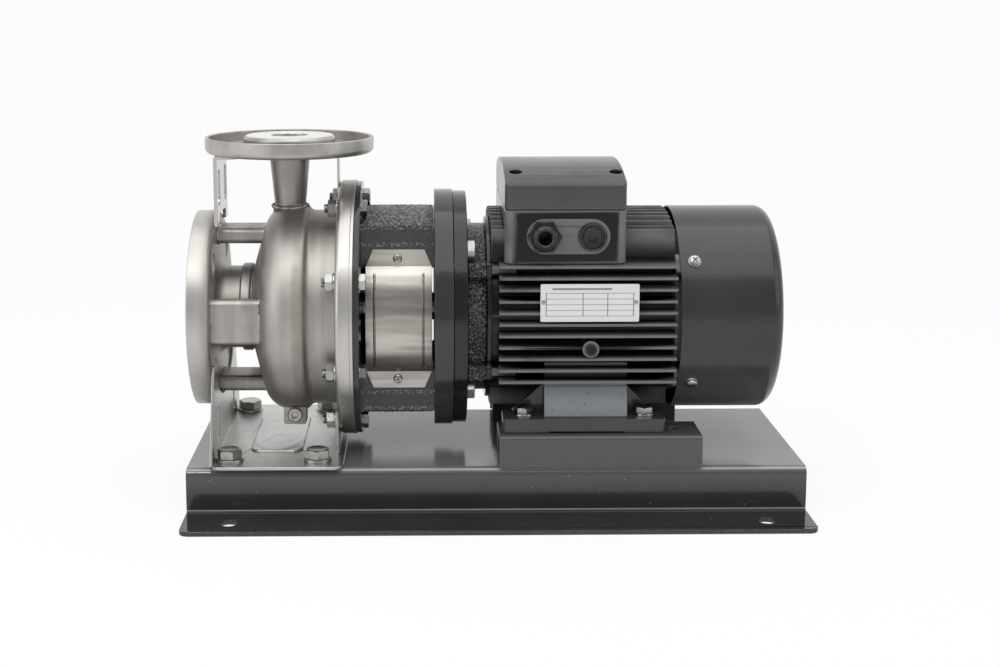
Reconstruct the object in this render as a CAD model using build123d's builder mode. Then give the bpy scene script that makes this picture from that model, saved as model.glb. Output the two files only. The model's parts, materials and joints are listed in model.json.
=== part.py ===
from build123d import *
import os
from math import atan2, cos, degrees, radians, sin

os.makedirs("parts", exist_ok=True)

# Set-out: X runs along the shaft towards the fan, Z is up, and the origin is on the floor
# in the middle of the base's four fixing holes.
shaft_height = 157.0
discharge_x = -173.8
suction_reach = 81.2  # suction face to discharge axis
discharge_rise = 149.0  # discharge face above the shaft
motor_seat = 90.0  # shaft above the motor's feet
running_gap = 0.05  # all round, between a shaft or ball and what it turns in
thread_gap = 0.05  # all round, between a thread and its nut or tapped hole
bolt_gap = 0.5  # all round, between a bolt and its clearance hole
turning_gap = 0.3  # between a turning face and a still one
cast_fit = 0.1  # all round, between a spigot and its recess

# Base, a hat section folded from one sheet
base_length = 510.0
base_height = 40.0
base_top_width = 188.0
base_foot_width = 284.0
base_sheet = 4.0
base_bend = 7.0
base_corner = 8.0
base_hole_radius = 7.0
base_hole_x = 217.0
base_hole_y = 121.0
socket_room = 11.0  # radius of the base's holes under the motor's foot nuts

# Pump casing, pressed from stainless sheet
casing_radius = 88.2
casing_neck_radius = 83.5
casing_sheet = 2.5
casing_bulge_end = 12.3  # from the discharge axis
casing_back = 54.3  # from the discharge axis
casing_nose = 30.2  # casing front ahead of the discharge axis
casing_ring_thick = 12.0
casing_ring_round = 4.0
casing_ring_radius = 109.2
ring_bolt_circle = 98.0
ring_bolt_count = 8

# Flanges
suction_flange_radius = 83.5
suction_flange_depth = 18.5
suction_bore_radius = 27.0
suction_bolt_circle = 62.5
discharge_flange_radius = 71.5
discharge_flange_depth = 13.5
discharge_bore_radius = 16.0
discharge_bolt_circle = 50.0
flange_hole_radius = 9.0
flange_face_rise = 1.5
suction_face_radius = 51.0
discharge_face_radius = 39.0
flange_sheet = 4.0  # the sheet that each flange is pressed from
flange_bend = 5.0  # outer radius of the bend up to the rim
flange_rim = 3.0
boss_round = 4.0  # rounding of the raised face's edge

# Suction pipe, struts, discharge neck, strap and pump foot
pipe_radius = 35.4
pipe_wall = 2.5
strut_centre = 64.3
strut_width = 38.0
strut_depth = 13.6
strut_wall = 2.0
strut_round = 5.0
neck_low_radius = 13.3
neck_high_radius = 17.0
neck_wall = 2.2
strap_sheet = 3.0
strap_width = 68.0
strap_leg_width = 24.0
strap_leg_sheet = 1.5
foot_sheet = 3.0
upright_sheet = 2.5
foot_width = 196.0
foot_end_x = -126.0
foot_upright_top = 140.0
foot_bolt_x = (-220.6, -148.0)
foot_bolt_y = 78.0

# Back cover, lantern and guards
cover_sheet = 2.5
cover_depth = 41.0
lantern_length = 81.5
lantern_ring = 5.0
lantern_ring_radius = 108.5
lantern_flange = 15.5
lantern_flange_radius = 101.6
arm_half_width = 54.0
arm_inner_radius = 69.0
arm_top = 85.8
arm_edge = 78.8
guard_sheet = 1.0
guard_radius = 71.0
guard_fold = 44.6
guard_tip = 58.6
guard_margin = 2.0
guard_screw_z = 51.0
bead_radius = 0.9
bead_inset = 7.4

# Motor, frame size 90S with a 200 mm flange
motor_flange_radius = 100.0
motor_flange_thick = 11.5
motor_spigot_radius = 65.0
motor_spigot = 3.5
motor_bolt_circle = 82.5
shield_neck_radius = 72.0
frame_start = -4.0
frame_length = 151.0
side_fin_start = 1.5
frame_bore = 65.0
frame_core = 72.0
fin_tip = 86.0
fin_pitch = 9.57
fin_count = 10
first_fin = 39.0
fin_root = 3.6
fin_edge = 2.2
top_fin_pitch = 10.4
shoulder = 61.0
shoulder_wall = 4.0
shoulder_top = 76.0
ledge_z = 48.5
cowl_radius = 86.8
cowl_sheet = 1.5
cowl_gap = 3.3  # from the frame's end to the cowl's open edge
cowl_length = 85.0
cowl_screw_inset = 11.9  # from the cowl's open edge
cowl_screw_angle = 35.5

# Motor feet and their supports
foot_hole_x = 23.0
foot_spacing = 100.0
long_foot_spacing = 125.0
foot_hole_y = 70.0
motor_foot_start = 5.2
motor_foot_length = 133.8
motor_foot_edge = 86.0
motor_foot_inner = 54.0
motor_foot_plate = 12.0
pad_start = 39.5
pad_length = 68.5
pad_drop = 53.0
support_start = 2.0
support_length = 166.5
support_width = 47.0
support_edge = 94.0
support_sheet = 4.0

# Terminal box
box_start = 6.0
box_length = 99.1
box_half_width = 80.0
box_bottom = 50.6
box_seam = 94.0
box_floor = 76.0
box_wall = 3.0
box_round = 6.5
lid_edge = 115.0
lid_top = 128.5
gasket = 1.2
gland_x = 38.0
plug_x = 77.0
gland_z = 73.0
gland_thread = 10.0

# Turning parts
shaft_radius = 12.0
pump_shaft_end = -87.5
motor_shaft_reach = 50.0
impeller_radius = 65.0
impeller_eye = 29.5
impeller_width = 9.0
shroud = 2.0
blade_count = 6
coupling_radius = 23.0
coupling_start = -108.0
coupling_length = 53.0
bearing_radius = 26.0
bearing_bore = 12.5
bearing_width = 15.0
ball_radius = 3.9
ball_count = 8
drive_bearing_x = -29.0
fan_bearing_inset = 8.0  # from the frame's end
stator_inset = 28.5  # from the frame's start
stator_rear_inset = 21.5  # from the frame's end
rotor_radius = 40.7
slot_count = 24
fan_inset = 46.5  # from the cowl's end to the fan's plate
fan_radius = 74.0
fan_width = 26.0
fan_blade_count = 8
key_width = 8.0
key_height = 7.0
key_length = 36.0
key_sunk = 4.0  # depth of the key's seat in the shaft

# Fasteners: thread radius, width across flats and heights
m4_thread = 2.0
m4_cap = 3.8
m5_thread = 2.5
m5_cap = 4.5
m6_thread = 3.0
m6_cap = 5.0
m6_cap_height = 6.0
m8_thread = 4.0
m8_flats = 13.0
m8_head = 5.3
m8_nut = 6.5
m8_washer = 1.6
m8_washer_radius = 8.0
m10_thread = 5.0
m10_flats = 16.0
m10_head = 6.4
m12_thread = 6.0
m12_flats = 18.0
m12_head = 7.5
m12_nut = 10.0
m12_washer = 2.5
m12_washer_radius = 11.5
bolt_tail = 3.0  # thread that stands out of a nut

# Places that follow from the sizes above
suction_x = discharge_x - suction_reach
casing_back_x = discharge_x + casing_back
casing_ring_x = casing_back_x - casing_ring_thick
lantern_x = casing_back_x + cover_sheet
motor_face_x = lantern_x + lantern_length
rim_back_x = suction_x + flange_face_rise + suction_flange_depth
base_top = base_height - shaft_height
frame_end = frame_start + frame_length
cowl_start = frame_end + cowl_gap
cowl_end = cowl_start + cowl_length
cowl_screw_x = cowl_start + cowl_screw_inset
fan_bearing_x = frame_end - fan_bearing_inset
fan_x = cowl_end - fan_inset
stator_start = frame_start + stator_inset
stator_length = frame_length - stator_inset - stator_rear_inset
motor_foot_z = -motor_seat
strap_z = discharge_rise - flange_face_rise - discharge_flange_depth

shaft_line = Axis((0, 0, shaft_height), (1, 0, 0))
discharge_line = Axis((discharge_x, 0, shaft_height), (0, 0, 1))
side_view = Plane(origin=(0, 0, shaft_height), x_dir=(1, 0, 0), z_dir=(0, -1, 0))
discharge_view = Plane(origin=(discharge_x, 0, shaft_height), x_dir=(1, 0, 0), z_dir=(0, -1, 0))
discharge_upright = Plane(origin=discharge_view.origin, x_dir=(0, 0, 1), z_dir=(0, 1, 0))


def across(x):
    """The plane square to the shaft at x: Y to its right, Z up, facing the fan."""
    return Plane(origin=(x, 0, shaft_height), x_dir=(0, 1, 0), z_dir=(1, 0, 0))


def level(z):
    """The horizontal plane at z above the shaft, facing up."""
    return Plane(origin=(0, 0, shaft_height + z), x_dir=(1, 0, 0), z_dir=(0, 0, 1))


def front(y):
    """The upright plane at y, facing the front: X to its right, Z up from the shaft."""
    return Plane(origin=(0, y, shaft_height), x_dir=(1, 0, 0), z_dir=(0, -1, 0))


def turn(points, mode=Mode.ADD, plane=side_view, axis=shaft_line):
    """A solid turned from its half-section, given as corners (along, out)."""
    with BuildSketch(plane) as section:
        with BuildLine():
            Polyline(*points, close=True)
        make_face()
    revolve(section.sketch, axis=axis, mode=mode)


def ring(start, end, inner, outer, mode=Mode.ADD):
    """A plain ring round the shaft."""
    turn([(start, inner), (end, inner), (end, outer), (start, outer)], mode)


def rod(plane, points, radius, length, mode=Mode.ADD):
    """Round rods, or with Mode.SUBTRACT round holes, from points on a plane along its normal."""
    with BuildSketch(plane) as discs:
        with Locations(*points):
            Circle(radius)
    extrude(discs.sketch, amount=length, mode=mode)


def drill(plane, points, radius, depth):
    """Round holes of this depth, sunk from points on a plane."""
    rod(plane, points, radius, -depth, Mode.SUBTRACT)


def block(plane, centre, size, height, mode=Mode.ADD):
    """A rectangular block standing on a plane."""
    with BuildSketch(plane) as outline:
        with Locations(centre):
            Rectangle(*size)
    extrude(outline.sketch, amount=height, mode=mode)


def hex_heads(plane, points, across_flats, height):
    """Hexagon heads or nuts standing on a plane."""
    with BuildSketch(plane) as outline:
        with Locations(*points):
            RegularPolygon(across_flats / 2, 6, major_radius=False)
    extrude(outline.sketch, amount=height)


def washers(plane, points, inner, outer, thick):
    """Flat washers lying on a plane."""
    with BuildSketch(plane) as outline:
        with Locations(*points):
            Circle(outer)
            Circle(inner, mode=Mode.SUBTRACT)
    extrude(outline.sketch, amount=thick)


def circle_points(radius, count, start):
    """Points (right, up) evenly round a circle, from an angle in degrees."""
    turns = [radians(start + 360 * i / count) for i in range(count)]
    return [(radius * cos(t), radius * sin(t)) for t in turns]


# Base frame, folded from one sheet and open at both ends
with BuildPart() as base_frame:
    with BuildSketch(Plane.YZ.offset(-base_length / 2)) as hat:
        with Locations((0, base_height / 2)):
            Rectangle(base_top_width, base_height)
        fillet(hat.vertices().group_by(Axis.Y)[-1], base_bend)
        with Locations((0, base_sheet / 2)):
            Rectangle(base_foot_width, base_sheet)
        with BuildSketch(mode=Mode.PRIVATE) as hollow:
            with Locations((0, (base_height - base_sheet) / 2)):
                Rectangle(base_top_width - 2 * base_sheet, base_height - base_sheet)
            fillet(hollow.vertices().group_by(Axis.Y)[-1], base_bend - base_sheet)
        add(hollow.sketch, mode=Mode.SUBTRACT)
    extrude(amount=base_length)
    corners = base_frame.edges().filter_by(Axis.Z).group_by(Axis.Y)
    fillet(corners[0] + corners[-1], base_corner)
    base_holes = [(x, y) for x in (-base_hole_x, base_hole_x) for y in (-base_hole_y, base_hole_y)]
    drill(Plane.XY.offset(base_sheet), base_holes, base_hole_radius, base_sheet)
    foot_places = [(x, y) for x in foot_bolt_x for y in (-foot_bolt_y, foot_bolt_y)]
    drill(level(base_top), foot_places, m12_thread + bolt_gap, base_sheet)
    motor_foot_xs = (foot_hole_x, foot_hole_x + foot_spacing)
    motor_foot_places = [(x, side * foot_hole_y) for x in motor_foot_xs for side in (-1, 1)]
    drill(level(base_top), motor_foot_places, socket_room, base_sheet)
base_frame.part.label = "base_frame"
export_step(base_frame.part, "parts/base_frame.step")

# Motor supports, two folded channels welded to the base, drilled for both frame lengths
support_height = motor_foot_z - base_top
motor_hole_xs = (*motor_foot_xs, foot_hole_x + long_foot_spacing)
with BuildPart() as motor_supports:
    for side in (-1, 1):
        middle = side * (support_edge - support_width / 2)
        with BuildSketch(across(support_start)) as channel:
            with Locations((middle, base_top + support_height / 2)):
                Rectangle(support_width, support_height)
            fillet(channel.vertices().group_by(Axis.Y)[-1], support_sheet)
            with Locations((middle, base_top + (support_height - support_sheet) / 2)):
                Rectangle(
                    support_width - 2 * support_sheet,
                    support_height - support_sheet,
                    mode=Mode.SUBTRACT,
                )
        extrude(channel.sketch, amount=support_length)
        holes = [(x, side * foot_hole_y) for x in motor_hole_xs]
        drill(level(motor_foot_z), holes, m8_thread + bolt_gap, support_sheet)
motor_supports.part.label = "motor_supports"
export_step(motor_supports.part, "parts/motor_supports.step")

# Casing shell, a pressed bowl with a rounded shoulder, a shallow valley and a straight rim
cone_inner = 40.0
cone_outer = 72.5
cone_run = 9.5
cone_start = (-casing_nose, cone_inner)
cone_end = (-casing_nose + cone_run, cone_outer)
cone_lean = degrees(atan2(cone_outer - cone_inner, cone_run))
valley = 8.5  # length of the S-curve down behind the bulge


def casing_outline(inset):
    """Corners and arcs of the casing's half-section, moved inwards by an inset."""
    nose, reach = -casing_nose + inset, casing_radius - inset
    rise = reach - cone_end[1] + inset / 3
    run = rise / sin(radians(cone_lean / 2)) * cos(radians(cone_lean / 2))
    start = (cone_end[0] + inset, cone_end[1] - inset / 3)
    top = (min(start[0] + run, casing_bulge_end - 1), reach)
    Line((nose, 0), (nose, cone_start[1] - inset))
    Line((nose, cone_start[1] - inset), start)
    TangentArc(start, top, tangent=(cone_run, cone_outer - cone_inner))
    Line(top, (casing_bulge_end, reach))
    low = casing_neck_radius - inset
    valley_middle = (casing_bulge_end + valley / 2, (reach + low) / 2)
    valley_end = (casing_bulge_end + valley, low)
    TangentArc((casing_bulge_end, reach), valley_middle, tangent=(1, 0))
    TangentArc(valley_end, valley_middle, tangent=(-1, 0))
    Line(valley_end, (casing_back, low))
    Line((casing_back, low), (casing_back, 0))
    Line((casing_back, 0), (nose, 0))


def casing_solid(inset):
    """The whole space inside the casing's surface, moved inwards by an inset."""
    with BuildPart() as whole:
        with BuildSketch(discharge_view) as section:
            with BuildLine():
                casing_outline(inset)
            make_face()
        revolve(section.sketch, axis=shaft_line)
    return whole.part


drain_x = discharge_x + 4.4
drain_z = -86.0
drain_front = -38.0
drain_depth = 16.0
drain_thread = 4.0
drain_width = 19.0
drain_below = 8.7  # from the plug's centre to the block's lower edge
drain_above = 20.0
drain_round = 2.0
drain_head = 6.0
drain_head_height = 4.0
drain_key = 5.2  # across the flats of the plug's socket

casing_outside = casing_solid(0)
casing_inside = casing_solid(casing_sheet)
seal_recess = 2.6  # room for the cover's O-ring at the casing's rim

with BuildPart() as casing_shell:
    add(casing_outside)
    add(casing_inside, mode=Mode.SUBTRACT)
    ring(discharge_x - casing_nose, discharge_x, 0, pipe_radius - pipe_wall, Mode.SUBTRACT)
    ring(casing_back_x - seal_recess, casing_back_x, 0, casing_neck_radius, Mode.SUBTRACT)
    neck_bore = neck_low_radius - neck_wall
    rod(Plane(discharge_view.origin), [(0, 0)], neck_bore, casing_radius + 1, Mode.SUBTRACT)
    drill(front(drain_front), [(drain_x, drain_z)], drain_thread + thread_gap, drain_depth)
casing_shell.part.label = "casing_shell"
export_step(casing_shell.part, "parts/casing_shell.step")

# Rim ring, welded round the casing and bolted to the lantern
ring_points = circle_points(ring_bolt_circle, ring_bolt_count, 180 / ring_bolt_count)
with BuildPart() as casing_flange_ring:
    ring(casing_ring_x, casing_back_x, casing_neck_radius, casing_ring_radius)
    outer_edge = casing_flange_ring.edges().filter_by(GeomType.CIRCLE).group_by(Axis.X)[0]
    fillet(outer_edge.sort_by(SortBy.RADIUS)[-1], casing_ring_round)
    drill(across(casing_back_x), ring_points, m8_thread + bolt_gap, casing_ring_thick)
casing_flange_ring.part.label = "casing_flange_ring"
export_step(casing_flange_ring.part, "parts/casing_flange_ring.step")

# Drain boss and plug under the casing
with BuildPart() as drain_boss:
    with BuildSketch(front(drain_front)) as tab:
        with Locations((drain_x, drain_z + (drain_above - drain_below) / 2)):
            RectangleRounded(drain_width, drain_above + drain_below, drain_round)
    extrude(tab.sketch, amount=-drain_depth)
    add(casing_outside, mode=Mode.SUBTRACT)
    drill(front(drain_front), [(drain_x, drain_z)], drain_thread + thread_gap, drain_depth)
drain_boss.part.label = "drain_boss"
export_step(drain_boss.part, "parts/drain_boss.step")

with BuildPart() as drain_plug:
    rod(front(drain_front), [(drain_x, drain_z)], drain_head, drain_head_height)
    chamfer(drain_plug.edges().group_by(Axis.Y)[0], 0.8)
    rod(front(drain_front), [(drain_x, drain_z)], drain_thread, -drain_depth / 2)
    with BuildSketch(front(drain_front - drain_head_height)) as socket:
        with Locations((drain_x, drain_z)):
            RegularPolygon(drain_key / 2, 6, major_radius=False)
    extrude(socket.sketch, amount=1 - drain_head_height, mode=Mode.SUBTRACT)
drain_plug.part.label = "drain_plug"
export_step(drain_plug.part, "parts/drain_plug.step")

# Suction flange, pressed as a dish that opens outwards, with a raised face and four bolt holes
suction_plate_x = suction_x + flange_face_rise
diagonal = 45.0


def flange_section(face, front_rim, back, bore, face_radius, radius, sense, plane, axis):
    """A pressed flange: (along, out) from its face to its back, with the dish on the face's side."""
    floor = back - sense * flange_sheet
    bend_start, bend_end = (back - sense * flange_bend, radius), (back, radius - flange_bend)
    boss_start, boss_end = (face, face_radius - boss_round), (face + sense * boss_round, face_radius)
    with BuildSketch(plane) as section:
        with BuildLine():
            Polyline(
                boss_end,
                (floor, face_radius),
                (floor, radius - flange_rim),
                (front_rim, radius - flange_rim),
                (front_rim, radius),
                bend_start,
            )
            TangentArc(bend_start, bend_end, tangent=(sense, 0))
            Polyline(bend_end, (back, bore), (face, bore), boss_start)
            TangentArc(boss_start, boss_end, tangent=(0, 1))
        make_face()
    revolve(section.sketch, axis=axis)


with BuildPart() as suction_flange:
    flange_section(
        suction_x,
        suction_plate_x,
        rim_back_x,
        suction_bore_radius,
        suction_face_radius,
        suction_flange_radius,
        1,
        side_view,
        shaft_line,
    )
    bolt_places = circle_points(suction_bolt_circle, 4, diagonal)
    drill(across(rim_back_x), bolt_places, flange_hole_radius, suction_flange_depth + flange_face_rise)
suction_flange.part.label = "suction_flange"
export_step(suction_flange.part, "parts/suction_flange.step")

# Suction pipe, flared at the flange, with a rolled bead before the casing
pipe_start = rim_back_x
pipe_end = discharge_x - casing_nose
bead_width = 8.6
bead_back = 2.6  # from the bead to the casing
bead_rise = 2.4
bead_round = 1.6
bead_start, bead_end = pipe_end - bead_back - bead_width, pipe_end - bead_back
pipe_flare = 9.0
with BuildPart() as suction_pipe:
    with BuildSketch(side_view) as pipe_section:
        with BuildLine():
            Line((pipe_start, pipe_radius - pipe_wall), (pipe_end, pipe_radius - pipe_wall))
            Line((pipe_end, pipe_radius - pipe_wall), (pipe_end, pipe_radius))
            Line((pipe_end, pipe_radius), (pipe_start + pipe_flare, pipe_radius))
            TangentArc(
                (pipe_start + pipe_flare, pipe_radius),
                (pipe_start, pipe_radius + pipe_flare),
                tangent=(-1, 0),
            )
            Line((pipe_start, pipe_radius + pipe_flare), (pipe_start, pipe_radius - pipe_wall))
        make_face()
    revolve(pipe_section.sketch, axis=shaft_line)
    ring(bead_start, bead_end, pipe_radius - pipe_wall / 2, pipe_radius + bead_rise)
    fillet(suction_pipe.edges().filter_by(GeomType.CIRCLE).sort_by(SortBy.RADIUS)[-3:-1], bead_round)
suction_pipe.part.label = "suction_pipe"
export_step(suction_pipe.part, "parts/suction_pipe.step")

# Four oval tubes that tie the suction flange to the casing
with BuildPart() as flange_struts:
    with BuildSketch(across(pipe_start)) as ovals:
        with PolarLocations(strut_centre, 4):
            Rectangle(strut_depth, strut_width)
        fillet(ovals.vertices(), strut_round)
    extrude(ovals.sketch, amount=discharge_x - pipe_start)
    with BuildSketch(across(pipe_start)) as bores:
        with PolarLocations(strut_centre, 4):
            Rectangle(strut_depth - 2 * strut_wall, strut_width - 2 * strut_wall)
    extrude(bores.sketch, amount=discharge_x - pipe_start, mode=Mode.SUBTRACT)
    add(casing_outside, mode=Mode.SUBTRACT)
flange_struts.part.label = "flange_struts"
export_step(flange_struts.part, "parts/flange_struts.step")

# Discharge neck, a tapered pipe saddled on the casing
neck_foot = 78.0
neck_taper_top = 130.0
neck_flare = 1.2
neck_saddle = 1.6  # by which the neck widens into its weld on the casing
neck_saddle_rise = 2.0
with BuildPart() as discharge_neck:
    turn(
        [
            (neck_low_radius - neck_wall, neck_foot),
            (neck_low_radius + neck_saddle, neck_foot),
            (neck_low_radius + neck_saddle, casing_radius),
            (neck_low_radius, casing_radius + neck_saddle_rise),
            (neck_high_radius, neck_taper_top),
            (neck_high_radius + neck_flare, strap_z),
            (neck_high_radius + neck_flare - neck_wall, strap_z),
            (neck_high_radius - neck_wall, neck_taper_top),
        ],
        plane=discharge_view,
        axis=discharge_line,
    )
    add(casing_outside, mode=Mode.SUBTRACT)
discharge_neck.part.label = "discharge_neck"
export_step(discharge_neck.part, "parts/discharge_neck.step")

# Discharge flange, pressed like the suction flange, its dish open to the top
discharge_rim_top = discharge_rise - flange_face_rise
discharge_face = Plane((discharge_x, 0, shaft_height + discharge_rise))
with BuildPart() as discharge_flange:
    flange_section(
        discharge_rise,
        discharge_rim_top,
        strap_z,
        discharge_bore_radius,
        discharge_face_radius,
        discharge_flange_radius,
        -1,
        discharge_upright,
        discharge_line,
    )
    bolt_places = circle_points(discharge_bolt_circle, 4, diagonal)
    drill(discharge_face, bolt_places, flange_hole_radius, discharge_rise - strap_z)
discharge_flange.part.label = "discharge_flange"
export_step(discharge_flange.part, "parts/discharge_flange.step")

# Strap under the discharge flange, from the suction rim over to the casing's rim ring
strap_overhang = 9.0  # past the narrow leg
strap_end = casing_ring_x + strap_overhang
strap_under = strap_z - strap_sheet
leg_overlap = 9.0  # of each leg on the rim that it is welded to
left_leg_foot = suction_flange_radius - leg_overlap
right_leg_foot = casing_ring_radius - leg_overlap
strap_notch = 17.5  # length of the corners cut away at the narrow leg
strap_slot_drop = 28.0
strap_slot_y = 20.0
strap_slot_length = 31.0
strap_slot_width = 14.0
arch_half = 22.0  # the opening that spans the upper strut
arch_rise = 9.5
arch_round = 6.0
with BuildPart() as flange_strap:
    strap_middle = ((rim_back_x + strap_end) / 2, 0)
    block(level(strap_under), strap_middle, (strap_end - rim_back_x, strap_width), strap_sheet)
    cut = (strap_width - strap_leg_width) / 2
    for side in (-1, 1):
        place = (strap_end - strap_notch / 2, side * (strap_width - cut) / 2)
        block(level(strap_under), place, (strap_notch, cut), strap_sheet, Mode.SUBTRACT)
    left_middle = (0, (strap_z + left_leg_foot) / 2)
    block(across(rim_back_x), left_middle, (strap_width, strap_z - left_leg_foot), strap_sheet)
    top_corner = flange_strap.edges().filter_by(Axis.Y).group_by(Axis.Z)[-1].sort_by(Axis.X)[0]
    fillet(top_corner, strap_sheet * 0.9)
    right_middle = (0, (strap_z + right_leg_foot) / 2)
    leg_size = (strap_leg_width, strap_z - right_leg_foot)
    block(across(casing_ring_x), right_middle, leg_size, -strap_leg_sheet)
    slot_places = [(y, strap_z - strap_slot_drop) for y in (-strap_slot_y, strap_slot_y)]
    with BuildSketch(across(rim_back_x)) as slots:
        with Locations(*slot_places):
            SlotOverall(strap_slot_length, strap_slot_width, rotation=90)
        with Locations((0, left_leg_foot)):
            RectangleRounded(2 * arch_half, 2 * arch_rise, arch_round)
    extrude(slots.sketch, amount=strap_sheet, mode=Mode.SUBTRACT)
    neck_room = neck_high_radius + neck_flare + bolt_gap
    drill(Plane((discharge_x, 0, shaft_height + strap_z)), [(0, 0)], neck_room, strap_sheet)
    drill(Plane((discharge_x, 0, shaft_height + strap_z)), bolt_places, flange_hole_radius, strap_sheet)
flange_strap.part.label = "flange_strap"
export_step(flange_strap.part, "parts/flange_strap.step")

# Pump foot, one folded sheet: an upright behind the suction rim, a plate and a short tab
foot_top = base_top + foot_sheet
foot_round = 10.0
upright_head = -37.0  # where the upright meets the flange's rim at its top
upright_slot = (52.0, -90.0)
tab_half_width = 50.0
tab_spread = 8.0  # by which the tab widens on each side down to the plate
tab_top = -81.0
emboss_length = foot_bolt_x[1] - foot_bolt_x[0] - 29.0
emboss_width = 2 * foot_bolt_y - 48.0
emboss_round = 8.0
emboss_rise = 1.5
low_ring_points = [p for p in ring_points if p[1] < tab_top]
with BuildPart() as pump_foot:
    foot_middle = ((rim_back_x + foot_end_x) / 2, 0)
    block(level(base_top), foot_middle, (foot_end_x - rim_back_x, foot_width), foot_sheet)
    fillet(pump_foot.edges().filter_by(Axis.Z), foot_round)
    with BuildSketch(across(rim_back_x)) as upright:
        with BuildLine():
            Polyline(
                (-foot_width / 2, foot_top),
                (-foot_upright_top / 2, upright_head),
                (foot_upright_top / 2, upright_head),
                (foot_width / 2, foot_top),
                (foot_width / 2 - foot_round, base_top),
                (-foot_width / 2 + foot_round, base_top),
                close=True,
            )
        make_face()
        Circle(suction_flange_radius - leg_overlap, mode=Mode.SUBTRACT)
        with Locations((-upright_slot[0], upright_slot[1]), upright_slot):
            SlotOverall(30, 8, rotation=90, mode=Mode.SUBTRACT)
    extrude(upright.sketch, amount=upright_sheet)
    with BuildSketch(across(casing_ring_x)) as tab:
        with BuildLine():
            Polyline(
                (-tab_half_width - tab_spread, foot_top),
                (-tab_half_width, tab_top),
                (tab_half_width, tab_top),
                (tab_half_width + tab_spread, foot_top),
                close=True,
            )
        make_face()
        Circle(casing_neck_radius + 2, mode=Mode.SUBTRACT)
    extrude(tab.sketch, amount=-foot_sheet)
    drill(across(casing_ring_x), low_ring_points, m8_thread + bolt_gap, foot_sheet)
    with BuildSketch(level(foot_top)) as emboss:
        with Locations((sum(foot_bolt_x) / 2, 0)):
            RectangleRounded(emboss_length, emboss_width, emboss_round)
    extrude(emboss.sketch, amount=emboss_rise)
    drill(level(foot_top), foot_places, m12_thread + bolt_gap, foot_sheet)
pump_foot.part.label = "pump_foot"
export_step(pump_foot.part, "parts/pump_foot.step")

# Foot bolts, washers and the nuts under the base
with BuildPart() as foot_washers:
    washers(level(foot_top), foot_places, m12_thread + bolt_gap / 2, m12_washer_radius, m12_washer)
foot_washers.part.label = "foot_washers"
export_step(foot_washers.part, "parts/foot_washers.step")

foot_grip = m12_washer + foot_sheet + base_sheet
with BuildPart() as foot_bolts:
    hex_heads(level(foot_top + m12_washer), foot_places, m12_flats, m12_head)
    chamfer(foot_bolts.edges().group_by(Axis.Z)[-1], 0.8)
    rod(level(foot_top + m12_washer), foot_places, m12_thread, -foot_grip - m12_nut - bolt_tail)
foot_bolts.part.label = "foot_bolts"
export_step(foot_bolts.part, "parts/foot_bolts.step")

with BuildPart() as foot_nuts:
    hex_heads(level(base_top - base_sheet), foot_places, m12_flats, -m12_nut)
    drill(level(base_top - base_sheet), foot_places, m12_thread + thread_gap, m12_nut)
foot_nuts.part.label = "foot_nuts"
export_step(foot_nuts.part, "parts/foot_nuts.step")

# Back cover, a dished stainless plate that closes the casing and holds the seal
cover_front = casing_back_x - cover_depth
cup_bore = 22.0
cup_end = cover_front + 20.0
cover_outer = casing_neck_radius - casing_sheet - bolt_gap
with BuildPart() as back_cover:
    turn(
        [
            (cover_front, cup_bore),
            (cover_front, cover_outer),
            (casing_back_x, cover_outer),
            (casing_back_x, lantern_ring_radius + 1),
            (lantern_x, lantern_ring_radius + 1),
            (lantern_x, cover_outer - cover_sheet),
            (cover_front + cover_sheet, cover_outer - cover_sheet),
            (cover_front + cover_sheet, cup_bore + cover_sheet),
            (cup_end + cover_sheet, cup_bore + cover_sheet),
            (cup_end + cover_sheet, shaft_radius + 1.5),
            (cup_end, shaft_radius + 1.5),
            (cup_end, cup_bore),
        ]
    )
    front_edges = back_cover.edges().filter_by(GeomType.CIRCLE).group_by(Axis.X)[0]
    fillet(front_edges.sort_by(SortBy.RADIUS)[-1], 2.2)
    drill(across(lantern_x), ring_points, m8_thread + bolt_gap, cover_sheet)
back_cover.part.label = "back_cover"
export_step(back_cover.part, "parts/back_cover.step")

ring_section = 1.2
with BuildPart() as cover_o_ring:
    with BuildSketch(side_view) as cord:
        with Locations((casing_back_x - seal_recess / 2, (cover_outer + casing_neck_radius) / 2)):
            Circle(ring_section)
    revolve(cord.sketch, axis=shaft_line)
cover_o_ring.part.label = "cover_o_ring"
export_step(cover_o_ring.part, "parts/cover_o_ring.step")

# Wear ring, seated inside the casing's nose round the impeller's neck
neck_outer = impeller_eye + 3.5
nose_inside = discharge_x - casing_nose + casing_sheet
with BuildPart() as wear_ring:
    ring(nose_inside, nose_inside + 10, neck_outer + turning_gap, cone_start[1] - casing_sheet - 0.4)
wear_ring.part.label = "wear_ring"
export_step(wear_ring.part, "parts/wear_ring.step")

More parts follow.
